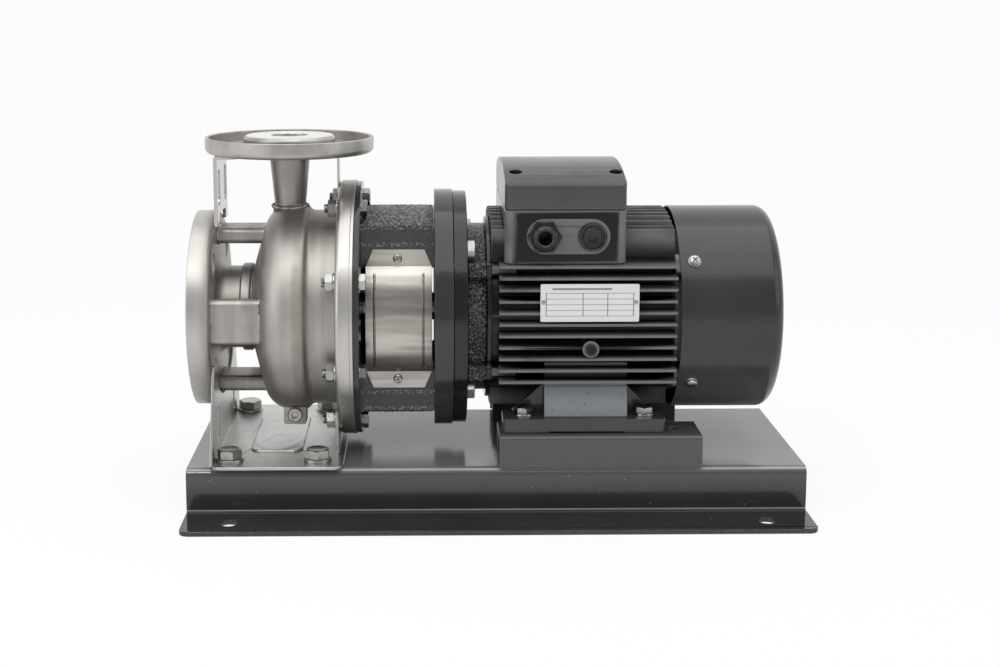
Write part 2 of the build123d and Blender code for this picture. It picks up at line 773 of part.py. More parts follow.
# Lantern, a casting with two arms between a ring and a flange
arm_start, arm_end = lantern_x + lantern_ring, motor_face_x - lantern_flange
motor_bolt_points = circle_points(motor_bolt_circle, 4, diagonal)
with BuildPart() as lantern:
    ring(lantern_x, arm_start, arm_inner_radius, lantern_ring_radius)
    ring(arm_end, motor_face_x, motor_spigot_radius - 6, lantern_flange_radius)
    ring(
        motor_face_x - motor_spigot - 0.5, motor_face_x, 0, motor_spigot_radius + cast_fit, Mode.SUBTRACT
    )
    with BuildSketch(across(arm_start)) as arms:
        for up in (-1, 1):
            with BuildSketch(mode=Mode.PRIVATE) as arm:
                with BuildLine():
                    Polyline(
                        (-arm_half_width, up * arm_edge),
                        (-arm_half_width, 0),
                        (arm_half_width, 0),
                        (arm_half_width, up * arm_edge),
                    )
                    ThreePointArc(
                        (-arm_half_width, up * arm_edge), (0, up * arm_top), (arm_half_width, up * arm_edge)
                    )
                make_face()
            add(arm.sketch)
        Circle(arm_inner_radius, mode=Mode.SUBTRACT)
    extrude(arms.sketch, amount=arm_end - arm_start)
    drill(across(arm_start), ring_points, m8_thread + bolt_gap, lantern_ring)
    drill(across(motor_face_x), motor_bolt_points, m10_thread + thread_gap, lantern_flange)
    guard_screw_x = (arm_start + arm_end) / 2
    guard_screws_at = [(guard_screw_x, z) for z in (-guard_screw_z, guard_screw_z)]
    drill(front(-arm_half_width), guard_screws_at, m4_thread + thread_gap, 10)
    drill(front(arm_half_width), guard_screws_at, m4_thread + thread_gap, -10)
lantern.part.label = "lantern"
export_step(lantern.part, "parts/lantern.step")

# Guards over the lantern's two windows: a rolled sheet with two pressed beads and two tabs
guard_x0, guard_x1 = arm_start + 4.0, arm_end - guard_margin
guard_skin = arm_half_width + guard_sheet
guard_centre = (guard_radius**2 - guard_skin**2 - guard_fold**2) / (2 * (guard_radius - guard_skin))
bead_lean = 34.0
tab_taper = 6.0
for side, name in ((-1, "guard_front"), (1, "guard_back")):
    with BuildPart() as guard:
        with BuildSketch(across(guard_x0)) as sheet:
            with BuildLine():
                Polyline(
                    (side * arm_half_width, guard_fold),
                    (side * arm_half_width, guard_tip),
                    (side * guard_skin, guard_tip),
                    (side * guard_skin, guard_fold),
                )
                ThreePointArc(
                    (side * guard_skin, guard_fold),
                    (side * guard_radius, 0),
                    (side * guard_skin, -guard_fold),
                )
                Polyline(
                    (side * guard_skin, -guard_fold),
                    (side * guard_skin, -guard_tip),
                    (side * arm_half_width, -guard_tip),
                    (side * arm_half_width, -guard_fold),
                )
                ThreePointArc(
                    (side * arm_half_width, -guard_fold),
                    (side * (guard_radius - guard_sheet), 0),
                    (side * arm_half_width, guard_fold),
                )
            make_face()
        extrude(sheet.sketch, amount=guard_x1 - guard_x0)
        middle = (guard_x0 + guard_x1) / 2
        with BuildSketch(front(side * guard_skin)) as outline:
            with Locations((middle, 0)):
                Rectangle(guard_x1 - guard_x0, 2 * guard_fold)
            for up in (-1, 1):
                with BuildLine():
                    Polyline(
                        (guard_x0, up * guard_fold),
                        (guard_x0 + tab_taper, up * guard_tip),
                        (guard_x1 - tab_taper, up * guard_tip),
                        (guard_x1, up * guard_fold),
                        close=True,
                    )
                make_face()
        extrude(outline.sketch, amount=20, both=True, mode=Mode.INTERSECT)
        drill(front(side * guard_skin), guard_screws_at, m4_thread + bolt_gap / 2, -side * guard_sheet)
        out = Vector(0, side * cos(radians(bead_lean)), -side * sin(radians(bead_lean)))
        for x in (guard_x0 + bead_inset, guard_x1 - bead_inset):
            hub = Vector(x, side * guard_centre, shaft_height)
            slice_plane = Plane(origin=hub, x_dir=(1, 0, 0), z_dir=Vector(1, 0, 0).cross(out))
            with BuildSketch(slice_plane) as bead:
                with Locations((0, guard_radius - guard_centre)):
                    Circle(bead_radius)
            revolve(bead.sketch, axis=Axis(hub, (1, 0, 0)), revolution_arc=2 * bead_lean)
    guard.part.label = name
    export_step(guard.part, f"parts/{name}.step")

with BuildPart() as guard_screws:
    for side in (-1, 1):
        rod(front(side * guard_skin), guard_screws_at, m4_cap, -side * 2.2)
        rod(front(side * guard_skin), guard_screws_at, m4_thread, side * 8)
guard_screws.part.label = "guard_screws"
export_step(guard_screws.part, "parts/guard_screws.step")

# Ring bolts, through the lantern, the back cover and the rim ring; two also hold the foot's tab
high_ring_points = [p for p in ring_points if p not in low_ring_points]
nut_groups = ((high_ring_points, casing_ring_x), (low_ring_points, casing_ring_x - foot_sheet))
with BuildPart() as ring_bolts:
    hex_heads(across(arm_start), ring_points, m8_flats, m8_head)
    for points, seat_x in nut_groups:
        reach = arm_start - seat_x + m8_washer + m8_nut + bolt_tail
        rod(across(arm_start), points, m8_thread, -reach)
ring_bolts.part.label = "ring_bolts"
export_step(ring_bolts.part, "parts/ring_bolts.step")

# Drive-end shield, the motor's flange: spigot, flange, neck with four lugs, and a bearing seat
flange_back_x = motor_face_x + motor_flange_thick
bearing_seat = bearing_radius + running_gap
collar_x = frame_start - 4.0
collar_rise = 6.0
shield_skin = 5.0
lug_y = 64.0
lug_z = 43.0
lug_size = 13.0
lug_points = [(y, z) for y in (-lug_y, lug_y) for z in (-lug_z, lug_z)]
shaft_room = 20.0
with BuildPart() as drive_end_shield:
    turn(
        [
            (drive_bearing_x, shaft_room),
            (motor_face_x + 3, shaft_room),
            (motor_face_x + 3, motor_spigot_radius - shield_skin),
            (motor_face_x - motor_spigot, motor_spigot_radius - shield_skin),
            (motor_face_x - motor_spigot, motor_spigot_radius),
            (motor_face_x, motor_spigot_radius),
            (motor_face_x, motor_flange_radius),
            (flange_back_x, motor_flange_radius),
            (flange_back_x, shield_neck_radius),
            (collar_x, shield_neck_radius),
            (collar_x, shield_neck_radius + collar_rise),
            (frame_start, shield_neck_radius + collar_rise),
            (frame_start, frame_bore - cast_fit),
            (frame_start + shield_skin, frame_bore - cast_fit),
            (frame_start + shield_skin, frame_bore - shield_skin),
            (frame_start - shield_skin, frame_bore - shield_skin),
            (drive_bearing_x + 6, bearing_radius + 12),
            (drive_bearing_x + bearing_width, bearing_radius + shield_skin),
            (drive_bearing_x + bearing_width, bearing_seat),
            (drive_bearing_x, bearing_seat),
        ]
    )
    with BuildSketch(across(flange_back_x - 1)) as lugs:
        with Locations(*lug_points):
            RectangleRounded(lug_size, lug_size, 3)
        Circle(shield_neck_radius - shield_skin, mode=Mode.SUBTRACT)
    extrude(lugs.sketch, amount=frame_start - flange_back_x + 1)
    drill(across(flange_back_x), motor_bolt_points, m10_thread + bolt_gap, motor_flange_thick)
    drill(across(frame_start), lug_points, m6_thread + bolt_gap / 2, frame_start - motor_face_x)
    drill(across(motor_face_x + m6_cap_height + 1), lug_points, m6_cap + bolt_gap, m6_cap_height + 1)
drive_end_shield.part.label = "drive_end_shield"
export_step(drive_end_shield.part, "parts/drive_end_shield.step")

# Bolts that hold the motor's flange to the lantern, in tapped holes
with BuildPart() as lantern_bolts:
    hex_heads(across(flange_back_x), motor_bolt_points, m10_flats, m10_head)
    rod(across(flange_back_x), motor_bolt_points, m10_thread, 2 - motor_flange_thick - lantern_flange)
lantern_bolts.part.label = "lantern_bolts"
export_step(lantern_bolts.part, "parts/lantern_bolts.step")

# Motor frame, a finned tube with a seat for the terminal box and two pads for the feet
top_crown = 164.0  # radius over the tips of the upright fins
top_fins_each_side = 5
low_fins_each_side = 3
low_fin_tip = 82.0
boss_radius = 5.5
boss_length = 20.0
rear_screw_y = 43.0
rear_screw_z = 54.0
rear_screw_points = [(y, z) for y in (-rear_screw_y, rear_screw_y) for z in (-rear_screw_z, rear_screw_z)]
screw_depth = 16.0
pad_outer = 74.0
pad_inner = 50.0
rivet_points = [(38.4, 18.9), (110.7, 18.9)]
rivet_radius = 1.5
earth_point = [(76.4, -19.3)]
earth_face = -86.5
box_middle = box_start + box_length / 2
box_end = box_start + box_length
lead_hole_x = 14.0
lead_hole_radius = 8.0
foot_screw_y = 62.0
foot_screw_x = (pad_start + 14, pad_start + pad_length - 14)
foot_screw_points = [(x, side * foot_screw_y) for x in foot_screw_x for side in (-1, 1)]


def upright_fin(y, root, tip):
    """The section of a tapered fin that stands up or hangs down."""
    base, edge = fin_root / 2, fin_edge / 2
    Polygon((y - base, root), (y - edge, tip), (y + edge, tip), (y + base, root))


def side_fin(z, root, tip):
    """The section of a tapered fin that stands out sideways."""
    base, edge = fin_root / 2, fin_edge / 2
    Polygon((root, z - base), (tip, z - edge), (tip, z + edge), (root, z + base))


with BuildPart() as motor_frame:
    with BuildSketch(across(frame_start)) as core:
        Circle(frame_core)
        for i in range(-top_fins_each_side, top_fins_each_side + 1):
            y = i * top_fin_pitch
            crown_drop = y**2 / (2 * top_crown)
            upright_fin(y, 46, fin_tip - crown_drop)
            if abs(i) <= low_fins_each_side:
                upright_fin(y, -58, crown_drop - low_fin_tip)
        for side in (-1, 1):
            with Locations((side * (shoulder - shoulder_wall / 2), (40 + shoulder_top) / 2)):
                Rectangle(shoulder_wall, shoulder_top - 40)
    extrude(core.sketch, amount=frame_length)
    with BuildSketch(across(side_fin_start)) as side_fins:
        for side in (-1, 1):
            side_fin(ledge_z, side * (shoulder - 1), side * fin_tip)
            for i in range(fin_count):
                side_fin(first_fin - i * fin_pitch, side * 54, side * fin_tip)
    extrude(side_fins.sketch, amount=frame_end - side_fin_start)
    rod(across(frame_start), lug_points, boss_radius, boss_length)
    rod(across(frame_end), rear_screw_points, boss_radius, -boss_length)
    for side in (-1, 1):
        pad_middle = (pad_start + pad_length / 2, side * (pad_outer + pad_inner) / 2)
        block(level(-pad_drop), pad_middle, (pad_length, pad_outer - pad_inner), 20)
    block(level(box_floor), (box_middle, 0), (box_length + 1, 2 * shoulder), 12, Mode.SUBTRACT)
    block(level(box_floor), (box_middle, 0), (box_length, 2 * shoulder), -12)
    rod(front(-fin_tip), rivet_points, 4.0, -20)
    rod(front(earth_face), earth_point, 7.0, -25)
    ring(frame_start, frame_end, 0, frame_bore, Mode.SUBTRACT)
    drill(level(box_floor), [(lead_hole_x, 0)], lead_hole_radius, 20)
    drill(front(-fin_tip), rivet_points, rivet_radius + thread_gap, 10)
    drill(front(earth_face), earth_point, m5_thread + thread_gap, 12)
    rod(across(frame_start), lug_points, m6_thread + thread_gap, screw_depth, Mode.SUBTRACT)
    rod(across(frame_end), rear_screw_points, m6_thread + thread_gap, -screw_depth, Mode.SUBTRACT)
    rod(level(-pad_drop), foot_screw_points, m6_thread + thread_gap, 10, Mode.SUBTRACT)
motor_frame.part.label = "motor_frame"
export_step(motor_frame.part, "parts/motor_frame.step")

with BuildPart() as earth_screw:
    rod(front(earth_face), earth_point, m5_cap, 3.0)
    rod(front(earth_face), earth_point, m5_thread, -10)
earth_screw.part.label = "earth_screw"
export_step(earth_screw.part, "parts/earth_screw.step")

# Motor feet: a plate with two slots, a pedestal up to the frame's pad, and a web to each side
relief = 1.2
relief_start = 43.0
relief_length = 62.0
web_thick = 6.0
web_y = 57.0
web_margin = 9.0
web_rise = 1.5
plate_round = 4.0
screw_floor = 6.0  # of the foot under each cap screw's head
foot_plate_top = motor_foot_z + motor_foot_plate
foot_plate_width = motor_foot_edge - motor_foot_inner
foot_screw_seat = motor_foot_z + relief + screw_floor + m6_cap_height
with BuildPart() as motor_feet:
    for side in (-1, 1):
        plate_y = side * (motor_foot_edge + motor_foot_inner) / 2
        plate_middle = (motor_foot_start + motor_foot_length / 2, plate_y)
        with BuildSketch(level(motor_foot_z)) as plate:
            with Locations(plate_middle):
                RectangleRounded(motor_foot_length, foot_plate_width, plate_round)
        extrude(plate.sketch, amount=motor_foot_plate)
        with BuildSketch(across(pad_start)) as pedestal:
            Polygon(
                (side * (pad_outer + 5), foot_plate_top - 1),
                (side * pad_outer, -pad_drop),
                (side * pad_inner, -pad_drop),
                (side * motor_foot_inner, foot_plate_top - 1),
            )
        extrude(pedestal.sketch, amount=pad_length)
        web_left = motor_foot_start + web_margin
        web_right = motor_foot_start + motor_foot_length - web_margin
        with BuildSketch(front(side * web_y)) as web:
            Polygon(
                (pad_start + 1, -pad_drop),
                (web_left, foot_plate_top + web_rise),
                (web_left, foot_plate_top - 1),
                (web_right, foot_plate_top - 1),
                (web_right, foot_plate_top + web_rise),
                (pad_start + pad_length - 1, -pad_drop),
            )
        extrude(web.sketch, amount=web_thick / 2, both=True)
        relief_middle = (relief_start + relief_length / 2, plate_y)
        relief_size = (relief_length, foot_plate_width + 2)
        block(level(motor_foot_z), relief_middle, relief_size, relief, Mode.SUBTRACT)
    with BuildSketch(level(foot_plate_top)) as slots:
        with Locations(*motor_foot_places):
            SlotOverall(14, 2 * (m8_thread + bolt_gap))
    extrude(slots.sketch, amount=-motor_foot_plate, mode=Mode.SUBTRACT)
    drill(level(-pad_drop), foot_screw_points, m6_thread + bolt_gap / 2, motor_seat - pad_drop)
    drill(level(foot_screw_seat), foot_screw_points, m6_cap + bolt_gap, foot_screw_seat - motor_foot_z)
motor_feet.part.label = "motor_feet"
export_step(motor_feet.part, "parts/motor_feet.step")

with BuildPart() as motor_foot_bolts:
    hex_heads(level(foot_plate_top + m8_washer), motor_foot_places, m8_flats, m8_head)
    reach = m8_washer + motor_foot_plate + support_sheet + m8_nut + bolt_tail
    rod(level(foot_plate_top + m8_washer), motor_foot_places, m8_thread, -reach)
motor_foot_bolts.part.label = "motor_foot_bolts"
export_step(motor_foot_bolts.part, "parts/motor_foot_bolts.step")

# Washers and nuts of the ring bolts and of the motor's foot bolts
with BuildPart() as m8_washers:
    for points, seat_x in nut_groups:
        washers(across(seat_x), points, m8_thread + bolt_gap / 2, m8_washer_radius, -m8_washer)
    washers(level(foot_plate_top), motor_foot_places, m8_thread + bolt_gap / 2, m8_washer_radius, m8_washer)
m8_washers.part.label = "m8_washers"
export_step(m8_washers.part, "parts/m8_washers.step")

with BuildPart() as m8_nuts:
    for points, seat_x in nut_groups:
        hex_heads(across(seat_x - m8_washer), points, m8_flats, -m8_nut)
        drill(across(seat_x - m8_washer), points, m8_thread + thread_gap, m8_nut)
    hex_heads(level(motor_foot_z - support_sheet), motor_foot_places, m8_flats, -m8_nut)
    drill(level(motor_foot_z - support_sheet), motor_foot_places, m8_thread + thread_gap, m8_nut)
m8_nuts.part.label = "m8_nuts"
export_step(m8_nuts.part, "parts/m8_nuts.step")

# Rear end shield, with the fan-end bearing seat and four lugs under the cowl
shield_wall = 6.0
shield_edge = 74.0
cowl_bore = cowl_radius - cowl_sheet
lug_reach = cowl_bore - cast_fit
cowl_lug_end = cowl_screw_x + 6.0
cowl_lug_width = 16.0
cowl_lug_depth = 8.0
cowl_angles = (cowl_screw_angle, 180 - cowl_screw_angle, 180 + cowl_screw_angle, -cowl_screw_angle)
bearing_end = fan_bearing_x + bearing_width


def radial(x, angle, radius):
    """The plane that faces out from the shaft's line at x, at an angle up from the back."""
    out = Vector(0, cos(radians(angle)), sin(radians(angle)))
    return Plane(origin=Vector(x, 0, shaft_height) + out * radius, x_dir=(1, 0, 0), z_dir=out)


with BuildPart() as rear_end_shield:
    turn(
        [
            (frame_end - shield_skin, frame_bore - shield_skin),
            (frame_end - shield_skin, frame_bore - cast_fit),
            (frame_end, frame_bore - cast_fit),
            (frame_end, shield_edge),
            (frame_end + shield_wall, shield_edge),
            (frame_end + shield_wall, bearing_radius + 8),
            (bearing_end + 4, bearing_radius + 5),
            (bearing_end + 4, shaft_room - 4),
            (bearing_end, shaft_room - 4),
            (bearing_end, bearing_seat),
            (fan_bearing_x, bearing_seat),
            (fan_bearing_x, bearing_radius + 5),
            (frame_end, bearing_radius + 10),
            (frame_end, frame_bore - shield_skin),
        ]
    )
    with BuildSketch(across(frame_end)) as cowl_lugs:
        for angle in cowl_angles:
            with PolarLocations(lug_reach - cowl_lug_depth, 1, start_angle=angle):
                Rectangle(2 * cowl_lug_depth + 2, cowl_lug_width)
        Circle(lug_reach, mode=Mode.INTERSECT)
    extrude(cowl_lugs.sketch, amount=cowl_lug_end - frame_end)
    for angle in cowl_angles:
        drill(radial(cowl_screw_x, angle, cowl_radius), [(0, 0)], m5_thread + thread_gap, 14)
    drill(across(frame_end + shield_wall), rear_screw_points, m6_thread + bolt_gap / 2, shield_wall)
rear_end_shield.part.label = "rear_end_shield"
export_step(rear_end_shield.part, "parts/rear_end_shield.step")

# Cap screws of the two end shields and of the motor's feet
with BuildPart() as shield_screws:
    seat = across(motor_face_x + m6_cap_height + 1)
    rod(seat, lug_points, m6_cap, -m6_cap_height)
    rod(seat, lug_points, m6_thread, frame_start + 12 - seat.origin.X)
    seat = across(frame_end + shield_wall)
    rod(seat, rear_screw_points, m6_cap, m6_cap_height)
    rod(seat, rear_screw_points, m6_thread, -shield_wall - 12)
    rod(level(foot_screw_seat), foot_screw_points, m6_cap, -m6_cap_height)
    rod(level(foot_screw_seat), foot_screw_points, m6_thread, 8 - pad_drop - foot_screw_seat)
shield_screws.part.label = "shield_screws"
export_step(shield_screws.part, "parts/shield_screws.step")

# Fan cowl, a drawn cup with a slotted end
grille_rows = ((12, 31.0, 22.0), (24, 61.0, 26.0))  # slots in the row, middle radius, length
grille_slot = 4.0
cowl_round = 10.5
with BuildPart() as fan_cowl:
    turn(
        [
            (cowl_start, cowl_bore),
            (cowl_start, cowl_radius),
            (cowl_end, cowl_radius),
            (cowl_end, 0),
            (cowl_end - cowl_sheet, 0),
            (cowl_end - cowl_sheet, cowl_bore),
        ]
    )
    for edge_x, rounding in ((cowl_end, cowl_round), (cowl_end - cowl_sheet, cowl_round - cowl_sheet)):
        rims = fan_cowl.edges().filter_by(GeomType.CIRCLE)
        fillet(rims.filter_by_position(Axis.X, edge_x - 0.1, edge_x + 0.1), rounding)
    with BuildSketch(across(cowl_end)) as grille:
        for count, radius, length in grille_rows:
            with PolarLocations(radius, count):
                Rectangle(length, grille_slot)
    extrude(grille.sketch, amount=-2 * cowl_sheet, mode=Mode.SUBTRACT)
    for angle in cowl_angles:
        drill(radial(cowl_screw_x, angle, cowl_radius + 1), [(0, 0)], m5_thread + bolt_gap / 2, 4)
fan_cowl.part.label = "fan_cowl"
export_step(fan_cowl.part, "parts/fan_cowl.step")

with BuildPart() as cowl_screws:
    for angle in cowl_angles:
        rod(radial(cowl_screw_x, angle, cowl_radius), [(0, 0)], m5_cap + 0.75, 1.0)
        rod(radial(cowl_screw_x, angle, cowl_radius + 1), [(0, 0)], m5_cap, 2.8)
        rod(radial(cowl_screw_x, angle, cowl_radius), [(0, 0)], m5_thread, -12)
cowl_screws.part.label = "cowl_screws"
export_step(cowl_screws.part, "parts/cowl_screws.step")

# Terminal box, a casting that sits astride the frame, with room for the leads down both sides
box_top_inside = box_floor + box_wall
skirt_inside = shoulder + 0.3
post_radius = 5.0
lid_screw_y = 52.0
lid_screw_xs = (box_start + 9.9, box_end - 6.6)
lid_screw_points = [(x, side * lid_screw_y) for x in lid_screw_xs for side in (-1, 1)]
entry_points = [(gland_x, gland_z), (plug_x, gland_z)]
entry_pad = 14.5  # radius of the pad's round ends
entry_rise = 1.5
with BuildPart() as terminal_box:
    with BuildSketch(level(box_bottom)) as box_plan:
        with Locations((box_middle, 0)):
            RectangleRounded(box_length, 2 * box_half_width, box_round)
    extrude(box_plan.sketch, amount=box_seam - box_bottom)
    inside_plan = (box_length - 2 * box_wall, 2 * (box_half_width - box_wall))
    block(level(box_top_inside), (box_middle, 0), inside_plan, box_seam - box_top_inside, Mode.SUBTRACT)
    side_room = box_half_width - skirt_inside - 2 * box_wall
    for side in (-1, 1):
        room_middle = (box_middle, side * (skirt_inside + box_wall + side_room / 2))
        room_plan = (box_length - 2 * box_wall, side_room)
        room_height = box_top_inside - box_bottom
        block(level(box_bottom + box_wall), room_middle, room_plan, room_height, Mode.SUBTRACT)
    saddle_plan = (box_length, 2 * skirt_inside)
    block(level(box_bottom), (box_middle, 0), saddle_plan, box_floor - box_bottom, Mode.SUBTRACT)
    rod(level(box_floor), lid_screw_points, post_radius, box_seam - box_floor)
    with BuildSketch(front(-box_half_width)) as entry_outline:
        with Locations(((gland_x + plug_x) / 2, gland_z)):
            SlotCenterToCenter(plug_x - gland_x, 2 * entry_pad)
    extrude(entry_outline.sketch, amount=entry_rise)
    drill(front(-box_half_width - entry_rise), entry_points, gland_thread + thread_gap, 10)
    drill(level(box_seam), lid_screw_points, m5_thread + thread_gap, 12)
    drill(level(box_top_inside), [(lead_hole_x, 0)], lead_hole_radius, box_wall)
terminal_box.part.label = "terminal_box"
export_step(terminal_box.part, "parts/terminal_box.step")

with BuildPart() as lid_gasket:
    with BuildSketch(level(box_seam)) as gasket_plan:
        with Locations((box_middle, 0)):
            RectangleRounded(box_length - 1, 2 * box_half_width - 1, box_round)
            Rectangle(box_length - 2 * box_wall, 2 * (box_half_width - box_wall), mode=Mode.SUBTRACT)
    extrude(gasket_plan.sketch, amount=gasket)
lid_gasket.part.label = "lid_gasket"
export_step(lid_gasket.part, "parts/lid_gasket.step")

# Lid of the terminal box, hollow under an arched top, with a deep well for each screw
lid_base = box_seam + gasket
well_radius = 5.3
well_wall = 2.0
well_floor = lid_edge - 11.0


def arch(inset):
    """The lid's section from side to side, moved inwards by an inset."""
    half, edge, top = box_half_width - inset, lid_edge - inset, lid_top - inset
    with BuildSketch(across(box_start + inset)) as section:
        with BuildLine():
            Polyline((-half, edge), (-half, lid_base), (half, lid_base), (half, edge))
            ThreePointArc((half, edge), (0, top), (-half, edge))
        make_face()
    return section.sketch


with BuildPart() as lid_room:
    extrude(arch(box_wall), amount=box_length - 2 * box_wall)
    rod(level(lid_base), lid_screw_points, well_radius + well_wall, lid_edge - lid_base, Mode.SUBTRACT)

with BuildPart() as terminal_lid:
    extrude(arch(0), amount=box_length)
    fillet(terminal_lid.edges().filter_by(Axis.Z), box_round)
    add(lid_room.part, mode=Mode.SUBTRACT)
    drill(level(lid_top), lid_screw_points, well_radius, lid_top - well_floor)
    drill(level(lid_top), lid_screw_points, m5_thread + bolt_gap / 2, lid_top)
terminal_lid.part.label = "terminal_lid"
export_step(terminal_lid.part, "parts/terminal_lid.step")

with BuildPart() as lid_screws:
    rod(level(well_floor), lid_screw_points, m5_cap, 5.0)
    rod(level(well_floor), lid_screw_points, m5_thread, box_seam - 10 - well_floor)
lid_screws.part.label = "lid_screws"
export_step(lid_screws.part, "parts/lid_screws.step")

# Terminal board with six studs, each with its nut
stud_points = [(box_middle + x, y) for x in (-10.0, 10.0) for y in (-16.0, 0.0, 16.0)]
board_top = box_top_inside + 8.0
with BuildPart() as terminal_board:
    with BuildSketch(level(box_top_inside)) as board:
        with Locations((box_middle, 0)):
            RectangleRounded(38, 52, 3)
    extrude(board.sketch, amount=board_top - box_top_inside)
    rod(level(board_top), stud_points, 2.0, 12)
    hex_heads(level(board_top), stud_points, 7.0, 3.2)
terminal_board.part.label = "terminal_board"
export_step(terminal_board.part, "parts/terminal_board.step")

# Cable gland and blind plug, screwed into the box's two entries
entry_face = front(-box_half_width - entry_rise)
gland_bore = 5.5
gland_hex = 5.0
gland_cap_length = 9.0
with BuildPart() as cable_gland:
    hex_heads(entry_face, entry_points[:1], 25.0, gland_hex)
    rod(entry_face, entry_points[:1], gland_thread, -9)
    rod(entry_face, entry_points[:1], 11.0, gland_hex + gland_cap_length)
    fillet(cable_gland.edges().group_by(Axis.Y)[0], 3)
    rod(entry_face, entry_points[:1], gland_bore, 20, Mode.SUBTRACT)
    rod(entry_face, entry_points[:1], gland_bore, -9, Mode.SUBTRACT)
cable_gland.part.label = "cable_gland"
export_step(cable_gland.part, "parts/cable_gland.step")

with BuildPart() as blind_plug:
    rod(entry_face, entry_points[1:], gland_thread + 2.5, 3.5)
    fillet(blind_plug.edges().group_by(Axis.Y)[0], 1.5)
    rod(entry_face, entry_points[1:], gland_thread, -9)
blind_plug.part.label = "blind_plug"
export_step(blind_plug.part, "parts/blind_plug.step")

# Motor shaft, stepped for two bearings, the rotor and the fan, with its key
bearing_shoulder = 16.0
rotor_seat = 18.0
fan_seat = 10.0
motor_shaft_end = motor_face_x - motor_shaft_reach
fan_hub_start = fan_x - 4.0
fan_hub_length = 22.0
shaft_tail = fan_hub_start + fan_hub_length + 3.0
rotor_start = stator_start
rotor_end = stator_start + stator_length
key_start = motor_shaft_end + 5.0
with BuildPart() as motor_shaft:
    turn(
        [
            (motor_shaft_end, 0),
            (motor_shaft_end, shaft_radius),
            (motor_face_x, shaft_radius),
            (motor_face_x, bearing_bore),
            (drive_bearing_x + bearing_width, bearing_bore),
            (drive_bearing_x + bearing_width, bearing_shoulder),
            (rotor_start - 4, bearing_shoulder),
            (rotor_start - 4, rotor_seat),
            (rotor_end + 4, rotor_seat),
            (rotor_end + 4, bearing_shoulder),
            (fan_bearing_x, bearing_shoulder),
            (fan_bearing_x, bearing_bore),
            (bearing_end + 3, bearing_bore),
            (bearing_end + 3, fan_seat),
            (shaft_tail, fan_seat),
            (shaft_tail, 0),
        ]
    )
    key_seat = front(shaft_radius - key_sunk)
    block(key_seat, (key_start + key_length / 2, 0), (key_length, key_width), -key_height, Mode.SUBTRACT)
motor_shaft.part.label = "motor_shaft"
export_step(motor_shaft.part, "parts/motor_shaft.step")

with BuildPart() as shaft_key:
    block(key_seat, (key_start + key_length / 2, 0), (key_length, key_width), -key_height)
shaft_key.part.label = "shaft_key"
export_step(shaft_key.part, "parts/shaft_key.step")

# Two ball bearings, made piece by piece
ball_circle = (bearing_bore + bearing_radius) / 2
inner_ring_top = 16.5
outer_ring_inside = 22.0
cage_width = 9.0
cage_inside = 18.4
cage_outside = 20.2
bearing_xs = (drive_bearing_x, fan_bearing_x)


def grooved_rings(inner, outer):
    """One ring for each bearing, grooved for its balls."""
    for x in bearing_xs:
        ring(x, x + bearing_width, inner, outer)
        with BuildSketch(side_view) as groove:
            with Locations((x + bearing_width / 2, ball_circle)):
                Circle(ball_radius + running_gap)
        revolve(groove.sketch, axis=shaft_line, mode=Mode.SUBTRACT)


with BuildPart() as bearing_inner_rings:
    grooved_rings(bearing_bore, inner_ring_top)
bearing_inner_rings.part.label = "bearing_inner_rings"
export_step(bearing_inner_rings.part, "parts/bearing_inner_rings.step")

with BuildPart() as bearing_outer_rings:
    grooved_rings(outer_ring_inside, bearing_radius)
bearing_outer_rings.part.label = "bearing_outer_rings"
export_step(bearing_outer_rings.part, "parts/bearing_outer_rings.step")

with BuildPart() as bearing_balls:
    for x in bearing_xs:
        with Locations(across(x + bearing_width / 2)):
            with PolarLocations(ball_circle, ball_count):
                Sphere(ball_radius)
bearing_balls.part.label = "bearing_balls"
export_step(bearing_balls.part, "parts/bearing_balls.step")

with BuildPart() as bearing_cages:
    for x in bearing_xs:
        cage_start = x + (bearing_width - cage_width) / 2
        ring(cage_start, cage_start + cage_width, cage_inside, cage_outside)
        for i in range(ball_count):
            pocket = radial(x + bearing_width / 2, 360 / ball_count * i, cage_outside + 1)
            drill(pocket, [(0, 0)], ball_radius + running_gap, cage_outside - cage_inside + 2)
bearing_cages.part.label = "bearing_cages"
export_step(bearing_cages.part, "parts/bearing_cages.step")

# Stator core, its winding, and the rotor with its two end rings
stator_bore = 41.0
slot_inner = 43.0
slot_outer = 57.0
slot_width = 4.0
slot_lining = 0.2
winding_overhang = 20.0
winding_inner = 44.0
winding_outer = 60.0
with BuildPart() as stator_core:
    with BuildSketch(across(stator_start)) as lamination:
        Circle(frame_bore)
        Circle(stator_bore, mode=Mode.SUBTRACT)
        with PolarLocations((slot_inner + slot_outer) / 2, slot_count):
            Rectangle(slot_outer - slot_inner, slot_width, mode=Mode.SUBTRACT)
    extrude(lamination.sketch, amount=stator_length)
stator_core.part.label = "stator_core"
export_step(stator_core.part, "parts/stator_core.step")

with BuildPart() as stator_winding:
    with BuildSketch(across(stator_start - winding_overhang)) as bars:
        with PolarLocations((slot_inner + slot_outer) / 2, slot_count):
            Rectangle(slot_outer - slot_inner - 2 * slot_lining, slot_width - 2 * slot_lining)
    extrude(bars.sketch, amount=stator_length + 2 * winding_overhang)
    ring(stator_start - winding_overhang, stator_start - slot_lining, winding_inner, winding_outer)
    ring(rotor_end + slot_lining, rotor_end + winding_overhang, winding_inner, winding_outer)
    for edge_x in (stator_start - winding_overhang, rotor_end + winding_overhang):
        rims = stator_winding.edges().filter_by(GeomType.CIRCLE)
        rims = rims.filter_by_position(Axis.X, edge_x - 0.1, edge_x + 0.1)
        fillet(rims.sort_by(SortBy.RADIUS)[-1], 5)
stator_winding.part.label = "stator_winding"
export_step(stator_winding.part, "parts/stator_winding.step")

